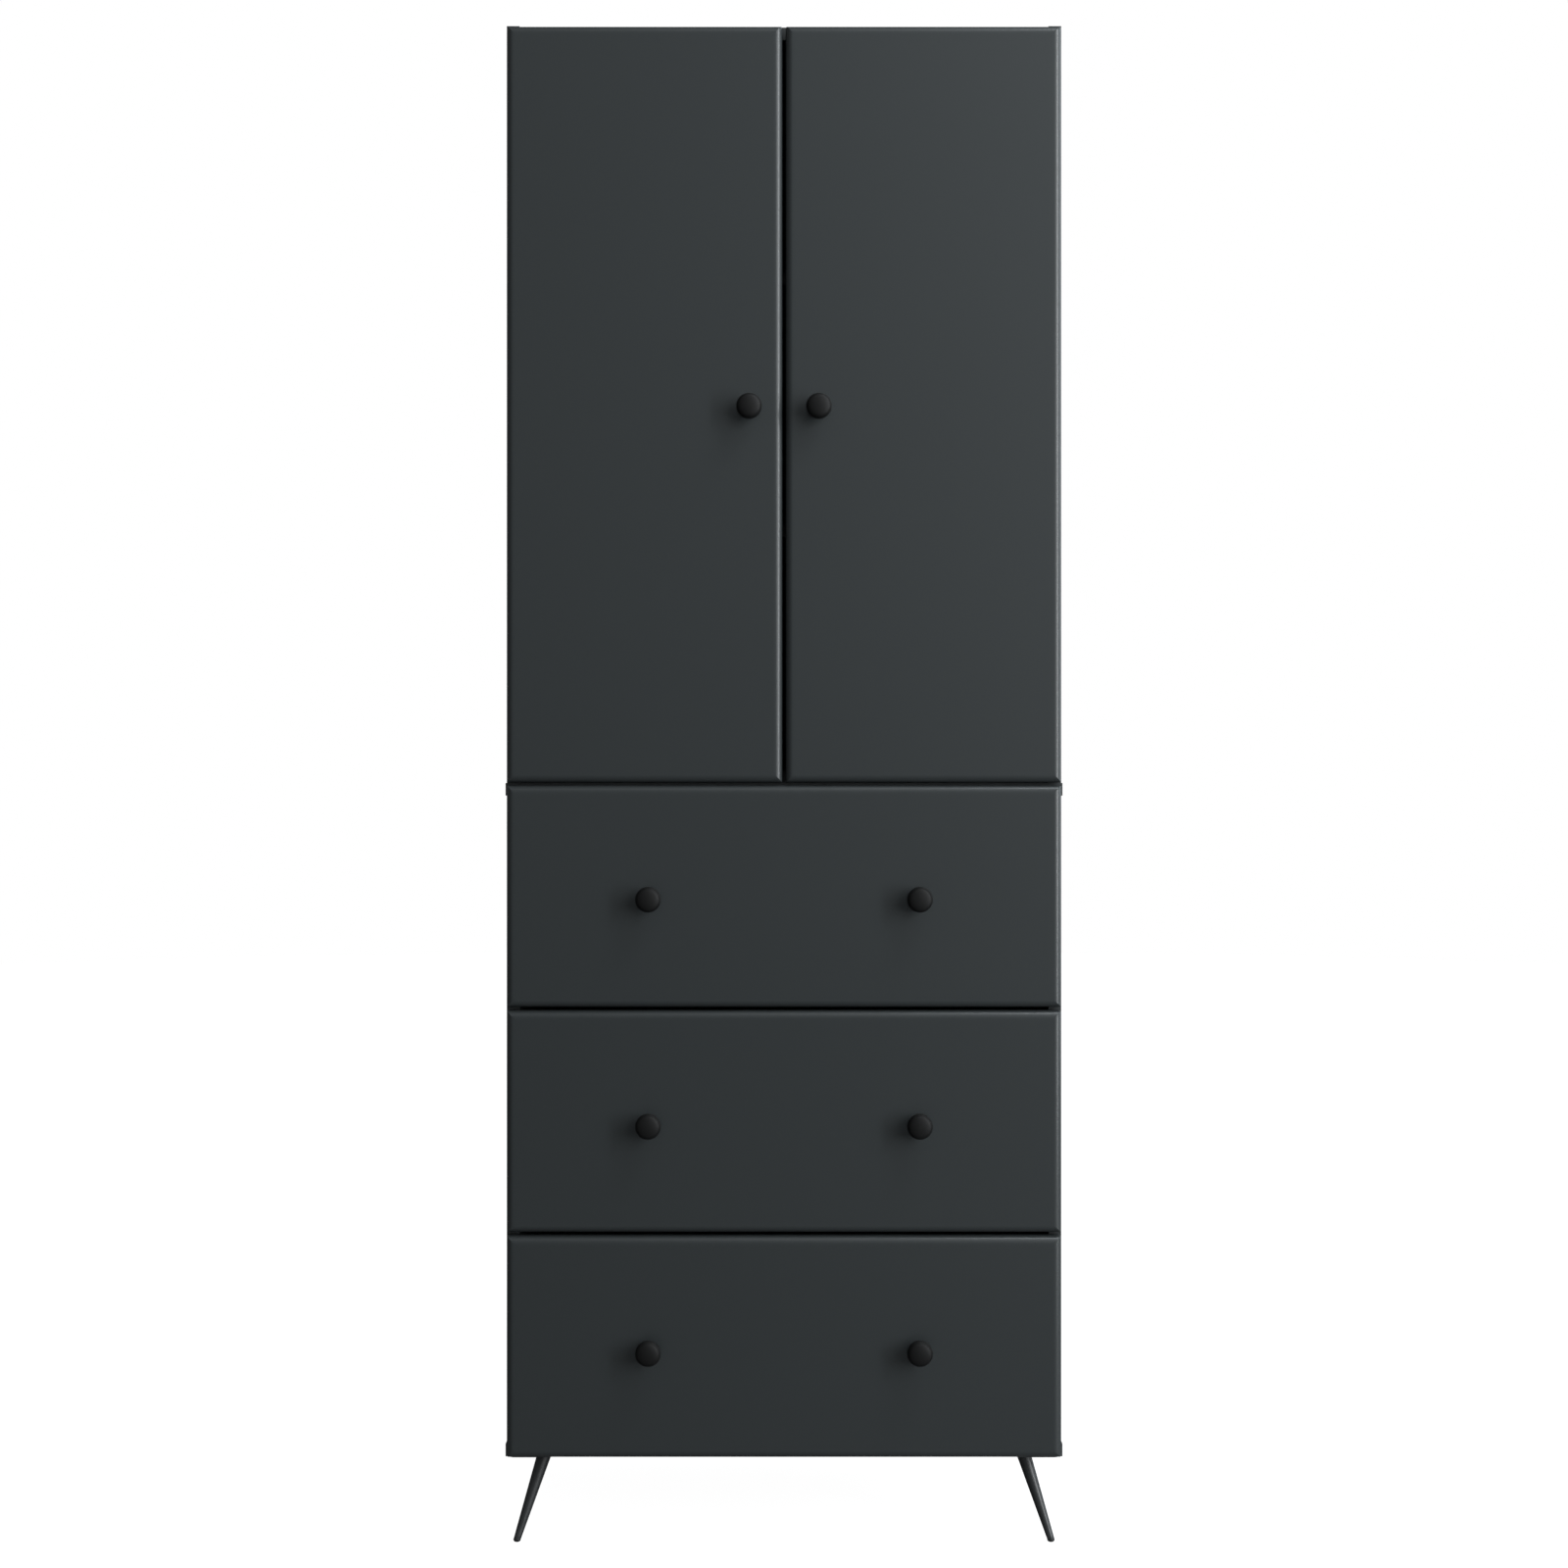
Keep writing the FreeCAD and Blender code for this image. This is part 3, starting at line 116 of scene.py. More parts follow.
class NodeBook:
    """Shader node groups that several finishes share, each built once."""

    COLOUR = "NodeSocketColor"
    VALUE = "NodeSocketFloat"
    VECTOR = "NodeSocketVector"
    LEAST_UPWARD = 0.6

    def __init__(self) -> None:
        """Build every group."""
        self.mottle = self._mottle()
        self.grain = self._grain()
        self.worn_edge = self._tinted("rubbed_edge", "Worn", 5.0, 60.0, self._edge_mask)
        self.dust = self._tinted("settled_dust", "Film", 6.0, 18.0, self._upward_mask)

    @staticmethod
    def _start(name: str, inputs: dict[str, str], outputs: dict[str, str]) -> tuple[NodeTree, Node, Node]:
        """Make an empty group with named sockets.

        Args:
            name: the group's name.
            inputs: socket name to socket type, each set where the group is used.
            outputs: socket name to socket type.

        Returns:
            The tree, its input node and its output node.
        """
        tree = bpy.data.node_groups.new(name, "ShaderNodeTree")
        for way, sockets in (("INPUT", inputs), ("OUTPUT", outputs)):
            for label, kind in sockets.items():
                tree.interface.new_socket(label, in_out=way, socket_type=kind)
        return tree, tree.nodes.new("NodeGroupInput"), tree.nodes.new("NodeGroupOutput")

    @staticmethod
    def _noise(tree: NodeTree, detail: float) -> tuple[Node, Node]:
        """Add a noise texture on object coordinates.

        Args:
            tree: the group to add it to.
            detail: how many octaves it has.

        Returns:
            The noise node and the coordinate node.
        """
        place = tree.nodes.new("ShaderNodeTexCoord")
        noise = tree.nodes.new("ShaderNodeTexNoise")
        noise.inputs["Detail"].default_value = detail
        wire(tree, (place, "Object", noise, "Vector"))
        return noise, place

    def _mottle(self) -> NodeTree:
        """Slow, cloudy change between two colours."""
        tree, given, result = self._start(
            "cloudy_tone", {"Colour A": self.COLOUR, "Colour B": self.COLOUR, "Scale": self.VALUE},
            {"Colour": self.COLOUR})
        noise, _ = self._noise(tree, 4.0)
        blend = colour_blend(tree)
        wire(tree, (given, "Scale", noise, "Scale"), (noise, "Fac", blend, "Factor"),
             (given, "Colour A", blend, "A"), (given, "Colour B", blend, "B"),
             (blend, "Result", result, "Colour"))
        return tree

    def _grain(self) -> NodeTree:
        """Fine relief: small noise that can be stretched along each axis, as height and as a value."""
        tree, given, result = self._start(
            "fine_grain", {"Stretch": self.VECTOR, "Scale": self.VALUE},
            {"Height": self.VALUE, "Fleck": self.VALUE})
        noise, place = self._noise(tree, 3.0)
        stretch = product(tree, "ShaderNodeVectorMath")
        wire(tree, (place, "Object", stretch, 0), (given, "Stretch", stretch, 1),
             (stretch, "Vector", noise, "Vector"), (given, "Scale", noise, "Scale"),
             (noise, "Fac", result, "Height"), (noise, "Fac", result, "Fleck"))
        return tree

    def _tinted(self, name: str, label: str, detail: float, scale: float,
                mask: Callable[[NodeTree], NodeSocket]) -> NodeTree:
        """A second colour laid over the first where a mask is high, broken up by noise.

        Args:
            name: the group's name.
            label: the second colour's name.
            detail: how many octaves the noise has.
            scale: how small the noise is.
            mask: adds the mask's nodes to a tree and returns the mask's socket.

        Returns:
            The new group.
        """
        tree, given, result = self._start(
            name, {"Colour": self.COLOUR, label: self.COLOUR, "Amount": self.VALUE}, {"Colour": self.COLOUR})
        noise, _ = self._noise(tree, detail)
        noise.inputs["Scale"].default_value = scale
        broken, level, blend = product(tree), product(tree), colour_blend(tree)
        tree.links.new(mask(tree), broken.inputs[0])
        wire(tree, (noise, "Fac", broken, 1), (broken, "Value", level, 0), (given, "Amount", level, 1),
             (level, "Value", blend, "Factor"), (given, "Colour", blend, "A"), (given, label, blend, "B"),
             (blend, "Result", result, "Colour"))
        return tree

    @staticmethod
    def _edge_mask(tree: NodeTree) -> NodeSocket:
        """The piece's edge attribute."""
        edge = tree.nodes.new("ShaderNodeAttribute")
        edge.attribute_name = "edge"
        return edge.outputs["Fac"]

    def _upward_mask(self, tree: NodeTree) -> NodeSocket:
        """How much a surface looks up."""
        surface = tree.nodes.new("ShaderNodeNewGeometry")
        split = tree.nodes.new("ShaderNodeSeparateXYZ")
        upward = tree.nodes.new("ShaderNodeMapRange")
        upward.inputs["From Min"].default_value = self.LEAST_UPWARD
        wire(tree, (surface, "Normal", split, "Vector"), (split, "Z", upward, "Value"))
        return upward.outputs["Result"]


@dataclass(frozen=True)
class Finish:
    """One surface finish, from its colours to its relief.

    Attributes:
        name: the material's name.
        dark: the darker colour of its cloudy tone, linear RGB.
        light: the lighter colour of its cloudy tone, linear RGB.
        rough: mean roughness.
        metallic: 1 for bare metal, 0 for all else.
        coat: weight of a clear coat.
        coat_rough: the coat's roughness.
        specular: strength of the reflection off a surface seen square on.
        cloud_scale: how small the cloudy tone is.
        grain_scale: how small the relief is.
        grain_stretch: the relief's stretch along X, Y and Z.
        grain_depth: the relief's depth in metres.
        fleck: how strongly the relief also changes the roughness.
        worn: colour of rubbed edges.
        wear: how strongly edges are rubbed.
        dust: how much dust lies on upward faces.
    """

    name: str
    dark: Rgb
    light: Rgb
    rough: float = 0.5
    metallic: float = 0.0
    coat: float = 0.0
    coat_rough: float = 0.3
    specular: float = 0.5
    cloud_scale: float = 3.0
    grain_scale: float = 900.0
    grain_stretch: tuple[float, float, float] = (1.0, 1.0, 1.0)
    grain_depth: float = 0.00002
    fleck: float = 0.08
    worn: Rgb = (0.2, 0.2, 0.2)
    wear: float = 0.0
    dust: float = 0.0
    FILM: ClassVar[Rgb] = (0.35, 0.35, 0.34)

    def build(self, book: NodeBook) -> Material:
        """Make the material.

        Args:
            book: the shared node groups.

        Returns:
            The new material.
        """
        material = bpy.data.materials.new(self.name)
        material.use_nodes = True
        tree = material.node_tree
        shader = tree.nodes["Principled BSDF"]
        for label, value in (("Metallic", self.metallic), ("Specular IOR Level", self.specular),
                             ("Coat Weight", self.coat), ("Coat Roughness", self.coat_rough)):
            shader.inputs[label].default_value = value
        tone = self._group(tree, book.mottle, {"Colour A": (*self.dark, 1), "Colour B": (*self.light, 1),
                                               "Scale": self.cloud_scale})
        edge = self._group(tree, book.worn_edge, {"Worn": (*self.worn, 1), "Amount": self.wear})
        dust = self._group(tree, book.dust, {"Film": (*self.FILM, 1), "Amount": self.dust})
        grain = self._group(tree, book.grain, {"Stretch": self.grain_stretch, "Scale": self.grain_scale})
        rough = tree.nodes.new("ShaderNodeMapRange")
        rough.inputs["To Min"].default_value = self.rough - self.fleck
        rough.inputs["To Max"].default_value = self.rough + self.fleck
        bump = tree.nodes.new("ShaderNodeBump")
        bump.inputs["Distance"].default_value = self.grain_depth
        wire(tree, (tone, "Colour", edge, "Colour"), (edge, "Colour", dust, "Colour"),
             (dust, "Colour", shader, "Base Color"), (grain, "Fleck", rough, "Value"),
             (rough, "Result", shader, "Roughness"), (grain, "Height", bump, "Height"),
             (bump, "Normal", shader, "Normal"))
        return material

    @staticmethod
    def _group(tree: NodeTree, group: NodeTree, values: dict) -> Node:
        """Place a shared group with its own values.

        Args:
            tree: the material's nodes.
            group: the shared group.
            values: input name to value.

        Returns:
            The group node.
        """
        node = tree.nodes.new("ShaderNodeGroup")
        node.node_tree = group
        for label, value in values.items():
            node.inputs[label].default_value = value
        return node


FINISHES = (
    Finish("anthracite_front", (0.0263, 0.0312, 0.0324), (0.0275, 0.0325, 0.0338), rough=0.46, coat=0.3,
           coat_rough=0.2, cloud_scale=1.6, grain_scale=420.0, grain_depth=0.000012, fleck=0.03,
           worn=(0.10, 0.11, 0.115), wear=0.05, dust=0.03),
    Finish("anthracite_board", (0.027, 0.031, 0.032), (0.031, 0.035, 0.036), cloud_scale=2.2,
           grain_scale=1300.0, grain_depth=0.00003, fleck=0.06, worn=(0.12, 0.12, 0.12), wear=0.1, dust=0.06),
    Finish("drawer_board", (0.036, 0.039, 0.041), (0.043, 0.047, 0.049), rough=0.55,
           grain_scale=1100.0, grain_depth=0.00003, fleck=0.06, dust=0.04),
    Finish("back_board", (0.033, 0.036, 0.038), (0.046, 0.049, 0.050), rough=0.7, cloud_scale=9.0,
           grain_scale=700.0, grain_stretch=(1.0, 1.0, 0.35), grain_depth=0.00008, fleck=0.1),
    Finish("beech", (0.42, 0.27, 0.14), (0.60, 0.42, 0.25), rough=0.6, cloud_scale=30.0, grain_scale=300.0,
           grain_stretch=(0.1, 1.0, 1.0), grain_depth=0.0001),
    Finish("black_knob", (0.0050, 0.0050, 0.0050), (0.0066, 0.0065, 0.0064), rough=0.6, specular=0.25,
           cloud_scale=40.0, grain_scale=2200.0, grain_depth=0.00003, fleck=0.05,
           worn=(0.02, 0.02, 0.02), wear=0.15, dust=0.02),
    Finish("leg_steel", (0.026, 0.028, 0.029), (0.033, 0.035, 0.036), rough=0.42, coat=0.15, cloud_scale=25.0,
           grain_scale=1600.0, grain_depth=0.00004, fleck=0.06,
           worn=(0.12, 0.12, 0.12), wear=0.12, dust=0.03),
    Finish("foot_plastic", (0.014, 0.014, 0.014), (0.019, 0.019, 0.019), cloud_scale=60.0,
           grain_scale=1500.0, grain_depth=0.00003),
    Finish("zinc_steel", (0.42, 0.43, 0.44), (0.60, 0.61, 0.62), rough=0.36, metallic=1.0, cloud_scale=55.0,
           grain_scale=500.0, grain_stretch=(1.0, 0.06, 1.0), grain_depth=0.00001),
    Finish("nickel_steel", (0.56, 0.54, 0.50), (0.68, 0.66, 0.62), rough=0.24, metallic=1.0, cloud_scale=40.0,
           grain_scale=700.0, grain_depth=0.00001, fleck=0.06),
    Finish("clear_bumper", (0.55, 0.57, 0.58), (0.66, 0.68, 0.69), rough=0.35, cloud_scale=90.0,
           grain_scale=800.0, grain_depth=0.00001, coat=0.4),
)


# ---- mesh helpers

def mesh_of(name: str, shape: BMesh) -> Mesh:
    """Turn a built shape, which is used up, into a mesh."""
    mesh = bpy.data.meshes.new(name)
    shape.to_mesh(mesh)
    shape.free()
    return mesh


def shown(name: str, data: ID) -> Object:
    """Add an object for a mesh, a lamp or a camera to the scene."""
    holder = bpy.data.objects.new(name, data)
    bpy.context.scene.collection.objects.link(holder)
    return holder


def smoothed(mesh: Mesh, sharp: float) -> None:
    """Shade a mesh smooth, but for edges sharper than an angle in degrees."""
    mesh.polygons.foreach_set("use_smooth", [True] * len(mesh.polygons))
    mesh.set_sharp_from_angle(angle=radians(sharp))


def finished(name: str, shape: BMesh, material: Material, sharp: float = 40.0) -> Object:
    """Turn a built shape into an object with outward faces and smooth shading.

    Args:
        name: the piece's name.
        shape: the shape, which is used up.
        material: its finish.
        sharp: angle in degrees from which an edge stays sharp.

    Returns:
        The new object, at the origin.
    """
    bmesh.ops.remove_doubles(shape, verts=shape.verts, dist=SAME_POINT)
    bmesh.ops.recalc_face_normals(shape, faces=shape.faces)
    mesh = mesh_of(name, shape)
    smoothed(mesh, sharp)
    mesh.materials.append(material)
    return shown(name, mesh)


def place_piece(piece: Object, body: str, slot: str, *nodes: str) -> None:
    """Ride a piece on its body and hide the CAD nodes that it replaces.

    Args:
        piece: the finished object.
        body: the body it moves with.
        slot: the record's material slot; not used.
        nodes: CAD nodes that it replaces.
    """
    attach(piece, body)
    if nodes:
        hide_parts(*nodes)
    LOG.info("%s rides on %s", piece.name, body)


def band(shape: BMesh, low: list, high: list) -> None:
    """Join two closed rings of vertices by faces."""
    for i, point in enumerate(low):
        j = (i + 1) % len(low)
        shape.faces.new((point, low[j], high[j], high[i]))


def skin_rings(shape: BMesh, rings: list[list[Vector]]) -> None:
    """Join closed rings of points, one after another, into a closed skin.

    Args:
        shape: where to build.
        rings: rings with the same number of points.
    """
    made = [[shape.verts.new(point) for point in ring] for ring in rings]
    for low, high in zip(made, made[1:]):
        band(shape, low, high)
    shape.faces.new(list(reversed(made[0])))
    shape.faces.new(made[-1])


def full_turn(count: int) -> list[float]:
    """Evenly spaced angles in radians, once round."""
    return [2 * pi * i / count for i in range(count)]


def circle(radius: float, height: float, count: int) -> list[Vector]:
    """A level ring of points about the Z axis."""
    return [Vector((radius * cos(a), radius * sin(a), height)) for a in full_turn(count)]


def rounded_outline(low: tuple[float, float], high: tuple[float, float], inset: float,
                    radius: float) -> list[tuple[float, float]]:
    """Draw a rectangle with round corners.

    Args:
        low: its lowest corner.
        high: its highest corner.
        inset: how far inside that rectangle to draw.
        radius: corner radius.

    Returns:
        Its points, anticlockwise.
    """
    left, right, bottom, top = low[0] + inset, high[0] - inset, low[1] + inset, high[1] - inset
    points = []
    for x, y, quarter in ((right, top, 0), (left, top, 1), (left, bottom, 2), (right, bottom, 3)):
        centre = (x - copysign(radius, x - (left + right) / 2),
                  y - copysign(radius, y - (bottom + top) / 2))
        for step in range(CORNER_STEPS + 1):
            angle = (quarter + step / CORNER_STEPS) * pi / 2
            points.append((centre[0] + radius * cos(angle), centre[1] + radius * sin(angle)))
    return points


def lathe(shape: BMesh, profile: list[tuple[float, float]], centre: Vector, along: Vector,
          segments: int) -> None:
    """Turn a profile about an axis.

    Args:
        shape: where to build.
        profile: (distance along the axis, radius) from one end to the other.
        centre: where the axis starts.
        along: the axis direction.
        segments: points round the axis.
    """
    turn = along.normalized().to_track_quat("Z", "Y").to_matrix()
    skin_rings(shape, [[centre + turn @ point for point in circle(radius, distance, segments)]
                       for distance, radius in profile])


def carved(shape: BMesh, tool: BMesh) -> BMesh:
    """Take one closed shape away from another.

    Args:
        shape: what is carved, which is used up.
        tool: what is taken away, which is used up.

    Returns:
        The carved shape.
    """
    holders = []
    for name, source in (("carved", shape), ("carver", tool)):
        bmesh.ops.recalc_face_normals(source, faces=source.faces)
        holders.append(shown(name, mesh_of(name, source)))
    body, carver = holders
    cutting = body.modifiers.new("carve", "BOOLEAN")
    cutting.operation = "DIFFERENCE"
    cutting.solver = "EXACT"
    cutting.object = carver
    bpy.context.view_layer.update()
    graph = bpy.context.evaluated_depsgraph_get()
    result = bmesh.new()
    result.from_mesh(body.evaluated_get(graph).to_mesh())
    for holder in holders:
        bpy.data.objects.remove(holder)
    return result


def mark_edges(piece: Object, rubbed: Callable[[Vector], bool]) -> None:
    """Store which points are exposed to rubbing, as the edge attribute.

    Args:
        piece: the object.
        rubbed: tells whether a place on it is exposed.
    """
    attribute = piece.data.attributes.new("edge", "FLOAT", "POINT")
    attribute.data.foreach_set("value", [float(rubbed(vertex.co)) for vertex in piece.data.vertices])


def arc(start: float, end: float, count: int) -> list[float]:
    """Evenly spaced angles in radians from start to end degrees."""
    return [radians(start + (end - start) * i / count) for i in range(count + 1)]


# ---- fronts

@dataclass
class FrontPanel:
    """A door or drawer front: a lacquered board with all its front edges rounded over.

    Attributes:
        node: the CAD node it stands for.
        body: the body it moves with.
        front_round: radius of the front edges.
        rear_break: size of the broken rear edges.
        corner: radius of its four corners seen from the front.
        least_corner: what that radius shrinks to inside the rounding.
        flat_margin: width of the first flat strip inside the rounding.
        well_radius: radius of the wells for hinge cups.
        well_depth: their depth.
        well_proud: how far the tool that carves them stands out of the board.
        cup_reach: from the end of the cups' node to a well's centre.
        cups: the CAD node of the hinge cups, for a door.
    """

    node: str
    body: str
    cups: str = ""
    front_round: float = 8.5 * MM
    rear_break: float = 0.8 * MM
    corner: float = 1.6 * MM
    least_corner: float = 0.1 * MM
    flat_margin: float = 3.0 * MM
    well_radius: float = 17.5 * MM
    well_depth: float = 11.5 * MM
    well_proud: float = 1.0 * MM
    cup_reach: float = 30.0 * MM
    ROUND_STEPS: ClassVar[int] = 12
    WELL_SEGMENTS: ClassVar[int] = 64

    def rings(self) -> list[tuple[float, float]]:
        """Shape the panel's edge.

        Returns:
            Inset and depth of each ring, from the rear face to the front face.
        """
        low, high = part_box(self.node)
        rear, front = high.y, low.y
        found = [(self.rear_break, rear), (0.0, rear - self.rear_break)]
        for angle in arc(0, 90, self.ROUND_STEPS):
            inset = self.front_round * (1 - cos(angle))
            found.append((inset, front + self.front_round * (1 - sin(angle))))
        found.append((self.front_round + self.flat_margin, front))
        return found

    def build(self, material: Material) -> None:
        """Make the panel and put it in place of its CAD node.

        Args:
            material: its finish.
        """
        low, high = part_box(self.node)
        shape = bmesh.new()
        rings = []
        for inset, depth in self.rings():
            radius = max(self.corner - inset, self.least_corner)
            outline = rounded_outline((low.x, low.z), (high.x, high.z), inset, radius)
            rings.append([Vector((x, depth, z)) for x, z in outline])
        skin_rings(shape, rings)
        if self.cups:
            shape = carved(shape, self._wells(high.y))
        piece = finished(self.node + "_lacquered", shape, material, sharp=30.0)
        front = low.y + self.front_round
        inner = self.front_round + self.flat_margin / 2
        mark_edges(piece, lambda place: place.y < front and inner > min(
            place.x - low.x, high.x - place.x, place.z - low.z, high.z - place.z))
        place_piece(piece, self.body, "anthracite_front", self.node)

    def _wells(self, rear: float) -> BMesh:
        """The wells, to be carved out of the rear face.

        Args:
            rear: where the rear face is along Y.

        Returns:
            Two closed drums that stand a little proud of that face.
        """
        low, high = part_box(self.cups)
        wells = bmesh.new()
        profile = [(-self.well_depth, self.well_radius), (self.well_proud, self.well_radius)]
        for height in (low.z + self.cup_reach, high.z - self.cup_reach):
            centre = Vector(((low.x + high.x) / 2, rear, height))
            lathe(wells, profile, centre, Vector((0, 1, 0)), self.WELL_SEGMENTS)
        return wells


@dataclass
class Knob:
    """A turned knob: a flared foot, a waisted neck and a domed head.

    Attributes:
        centre: where its foot meets the front.
        foot_radius: radius of the foot.
        neck_radius: radius of the waist.
        head_radius: largest radius.
        reach: how far it stands out.
        foot_rise: height of the foot's straight rim.
        head_start: where the waist opens into the head.
        head_depth: length of that opening.
        round_start: where the head's straight rim ends.
        round_depth: radius of the rounding after the rim.
        edge: size of the foot's broken edge.
        waist_length: length of the way from foot to waist, in steps from one radius to the other.
    """

    centre: Vector
    foot_radius: float = 9.0 * MM
    neck_radius: float = 7.0 * MM
    head_radius: float = 15.0 * MM
    reach: float = 25.0 * MM
    foot_rise: float = 1.6 * MM
    head_start: float = 9.4 * MM
    head_depth: float = 4.6 * MM
    round_start: float = 17.0 * MM
    round_depth: float = 5.4 * MM
    edge: float = 0.4 * MM
    waist_length: float = 1.5
    SEGMENTS: ClassVar[int] = 56

    def profile(self) -> list[tuple[float, float]]:
        """Draw the knob's half section.

        Returns:
            Distance from the front and radius, from foot to crown.
        """
        points = [(0.0, self.edge), (0.0, self.foot_radius - self.edge), (self.edge, self.foot_radius),
                  (self.foot_rise, self.foot_radius)]
        flare = self.foot_radius - self.neck_radius
        for angle in arc(10, 90, 6):
            points.append((self.foot_rise + self.waist_length * flare * sin(angle),
                           self.foot_radius - flare * (1 - cos(angle))))
        rise = self.head_radius - self.neck_radius
        for angle in arc(0, 90, 10):
            points.append((self.head_start + self.head_depth * (1 - cos(angle)),
                           self.neck_radius + rise * sin(angle)))
        for angle in arc(0, 45, 6):
            points.append((self.round_start + self.round_depth * sin(angle),
                           self.head_radius - self.round_depth * (1 - cos(angle))))
        start, radius = points[-1]
        for angle in arc(10, 90, 14):
            points.append((start + (self.reach - start) * sin(angle),
                           max(radius * cos(angle), self.edge / 2)))
        return points

    def build(self, shape: BMesh) -> None:
        """Add the knob to a shape."""
        lathe(shape, self.profile(), self.centre, Vector((0, -1, 0)), self.SEGMENTS)


@dataclass
class Fronts:
    """The five front panels and their eight knobs."""

    RUBBED_FROM = 8 * MM
    RUBBED_TO = 13 * MM

    paints: Paints

    def build(self) -> None:
        """Make every front and knob."""
        lacquer = self.paints["anthracite_front"]
        for side in SIDES:
            FrontPanel(f"{side}_door_panel", f"{side}_door", f"{side}_hinge_cups").build(lacquer)
            self.knobs(f"{side}_door_knob", f"{side}_door", 1)
        for name in DRAWERS:
            FrontPanel(f"{name}_drawer_front", f"{name}_drawer").build(lacquer)
            self.knobs(f"{name}_drawer_knobs", f"{name}_drawer", 2)

    def knobs(self, node: str, body: str, count: int) -> None:
        """Make the knobs of one front as one piece.

        Args:
            node: the CAD node they stand for.
            body: the body they move with.
            count: 1 in the middle of the node, or 2 at its ends.
        """
        low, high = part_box(node)
        radius = Knob.head_radius
        height = (low.z + high.z) / 2
        xs = [(low.x + high.x) / 2] if count == 1 else [low.x + radius, high.x - radius]
        shape = bmesh.new()
        for x in xs:
            Knob(Vector((x, low.y + Knob.reach, height))).build(shape)
        piece = finished(node + "_turned", shape, self.paints["black_knob"], sharp=50.0)
        mark_edges(piece, lambda place: self.RUBBED_FROM < place.y - low.y < self.RUBBED_TO)
        place_piece(piece, body, "black_knob", node)


# ---- legs

@dataclass
class Leg:
    """A splayed, tapered steel leg welded under a square plate.

    Attributes:
        where: such as front_left.
        plate: the plate's side.
        plate_thick: the plate's thickness.
        corner: the plate's corner radius.
        top_radius: the leg's radius under the plate.
        tip_radius: its radius at the foot.
        top_inset: how far in from the plate's outer edges its centre line starts.
        tip_inset: how far in from the plate's outer edges its centre line ends.
        soft: size of the plate's softened edges.
        stop: height over the floor at which the rod's straight taper ends.
        bead: radius of the weld.
        unevenness: how much that radius changes, as a share of it.
    """

    where: str
    plate: float = 55.0 * MM
    plate_thick: float = 2.0 * MM
    corner: float = 8.0 * MM
    top_radius: float = 8.8 * MM
    tip_radius: float = 4.1 * MM
    top_inset: float = 42.0 * MM
    tip_inset: float = 9.4 * MM
    soft: float = 0.4 * MM
    stop: float = 3.2 * MM
    bead: float = 1.1 * MM
    unevenness: float = 0.18
    ROD_COUNT: ClassVar[int] = 40
    BEAD_COUNT: ClassVar[int] = 8
    WELD_COUNT: ClassVar[int] = 48
    RIPPLE: ClassVar[float] = 2.6
    RUBBED_BELOW: ClassVar[float] = 14 * MM
    LEVELS: ClassVar[tuple[float, ...]] = (0.0, 0.1, 0.3, 0.5, 0.7, 0.85, 0.95, 1.0)
    TIP_DROP: ClassVar[float] = 0.35
    TIP_CORE: ClassVar[float] = 0.55

    def corner_point(self) -> tuple[Vector, Vector]:
        """Find where the leg is fixed.

        Returns:
            The plate's outer corner at its underside, and the inward direction along X and Y.
        """
        low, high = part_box(f"{self.where}_leg")
        inward = Vector((1 if "left" in self.where else -1, 1 if "front" in self.where else -1, 0))
        outer = Vector((low.x if inward.x > 0 else high.x, low.y if inward.y > 0 else high.y,
                        high.z - self.plate_thick))
        return outer, inward

    def centre_line(self) -> tuple[Vector, Vector]:
        """Find the leg's centre line.

        Returns:
            Its ends, at the plate's underside and on the floor.
        """
        outer, inward = self.corner_point()
        top = outer + inward * self.top_inset
        tip = outer + inward * self.tip_inset
        tip.z = 0.0
        return top, tip

    def build(self, material: Material) -> None:
        """Make plate, rod and weld as one piece.

        Args:
            material: its finish.
        """
        shape = bmesh.new()
        self._plate(shape)
        self._rod(shape)
        self._weld(shape)
        piece = finished(f"{self.where}_leg_painted", shape, material, sharp=45.0)
        mark_edges(piece, lambda place: place.z < self.RUBBED_BELOW)
        place_piece(piece, "carcass", "leg_steel", f"{self.where}_leg")

    def _plate(self, shape: BMesh) -> None:
        """Add the mounting plate with softened edges.

        Args:
            shape: where to build.
        """
        outer, inward = self.corner_point()
        far = outer + inward * self.plate
        low = (min(outer.x, far.x), min(outer.y, far.y))
        high = (max(outer.x, far.x), max(outer.y, far.y))
        thick, soft = self.plate_thick, self.soft
        rings = []
        for inset, rise in ((soft, 0.0), (0.0, soft), (0.0, thick - soft), (soft, thick)):
            outline = rounded_outline(low, high, inset, self.corner - inset)
            rings.append([Vector((x, y, outer.z + rise)) for x, y in outline])
        skin_rings(shape, rings)

    def _rod(self, shape: BMesh) -> None:
        """Add the tapered rod, cut level under the plate and rounded at its tip.

        Args:
            shape: where to build.
        """
        top, tip = self.centre_line()
        rings = []
        for share in self.LEVELS:
            level = top.z + (self.stop - top.z) * share
            part = (top.z - level) / top.z
            radius = self.top_radius + (self.tip_radius - self.top_radius) * part
            rings.append(self._level_ring(top.lerp(tip, part), radius, self.ROD_COUNT))
        for angle in arc(20, 80, 4):
            level = self.stop * (1 - self.TIP_DROP * sin(angle))
            radius = self.tip_radius * (self.TIP_CORE + (1 - self.TIP_CORE) * cos(angle))
            rings.append(self._level_ring(top.lerp(tip, (top.z - level) / top.z), radius, self.ROD_COUNT))
        skin_rings(shape, rings)

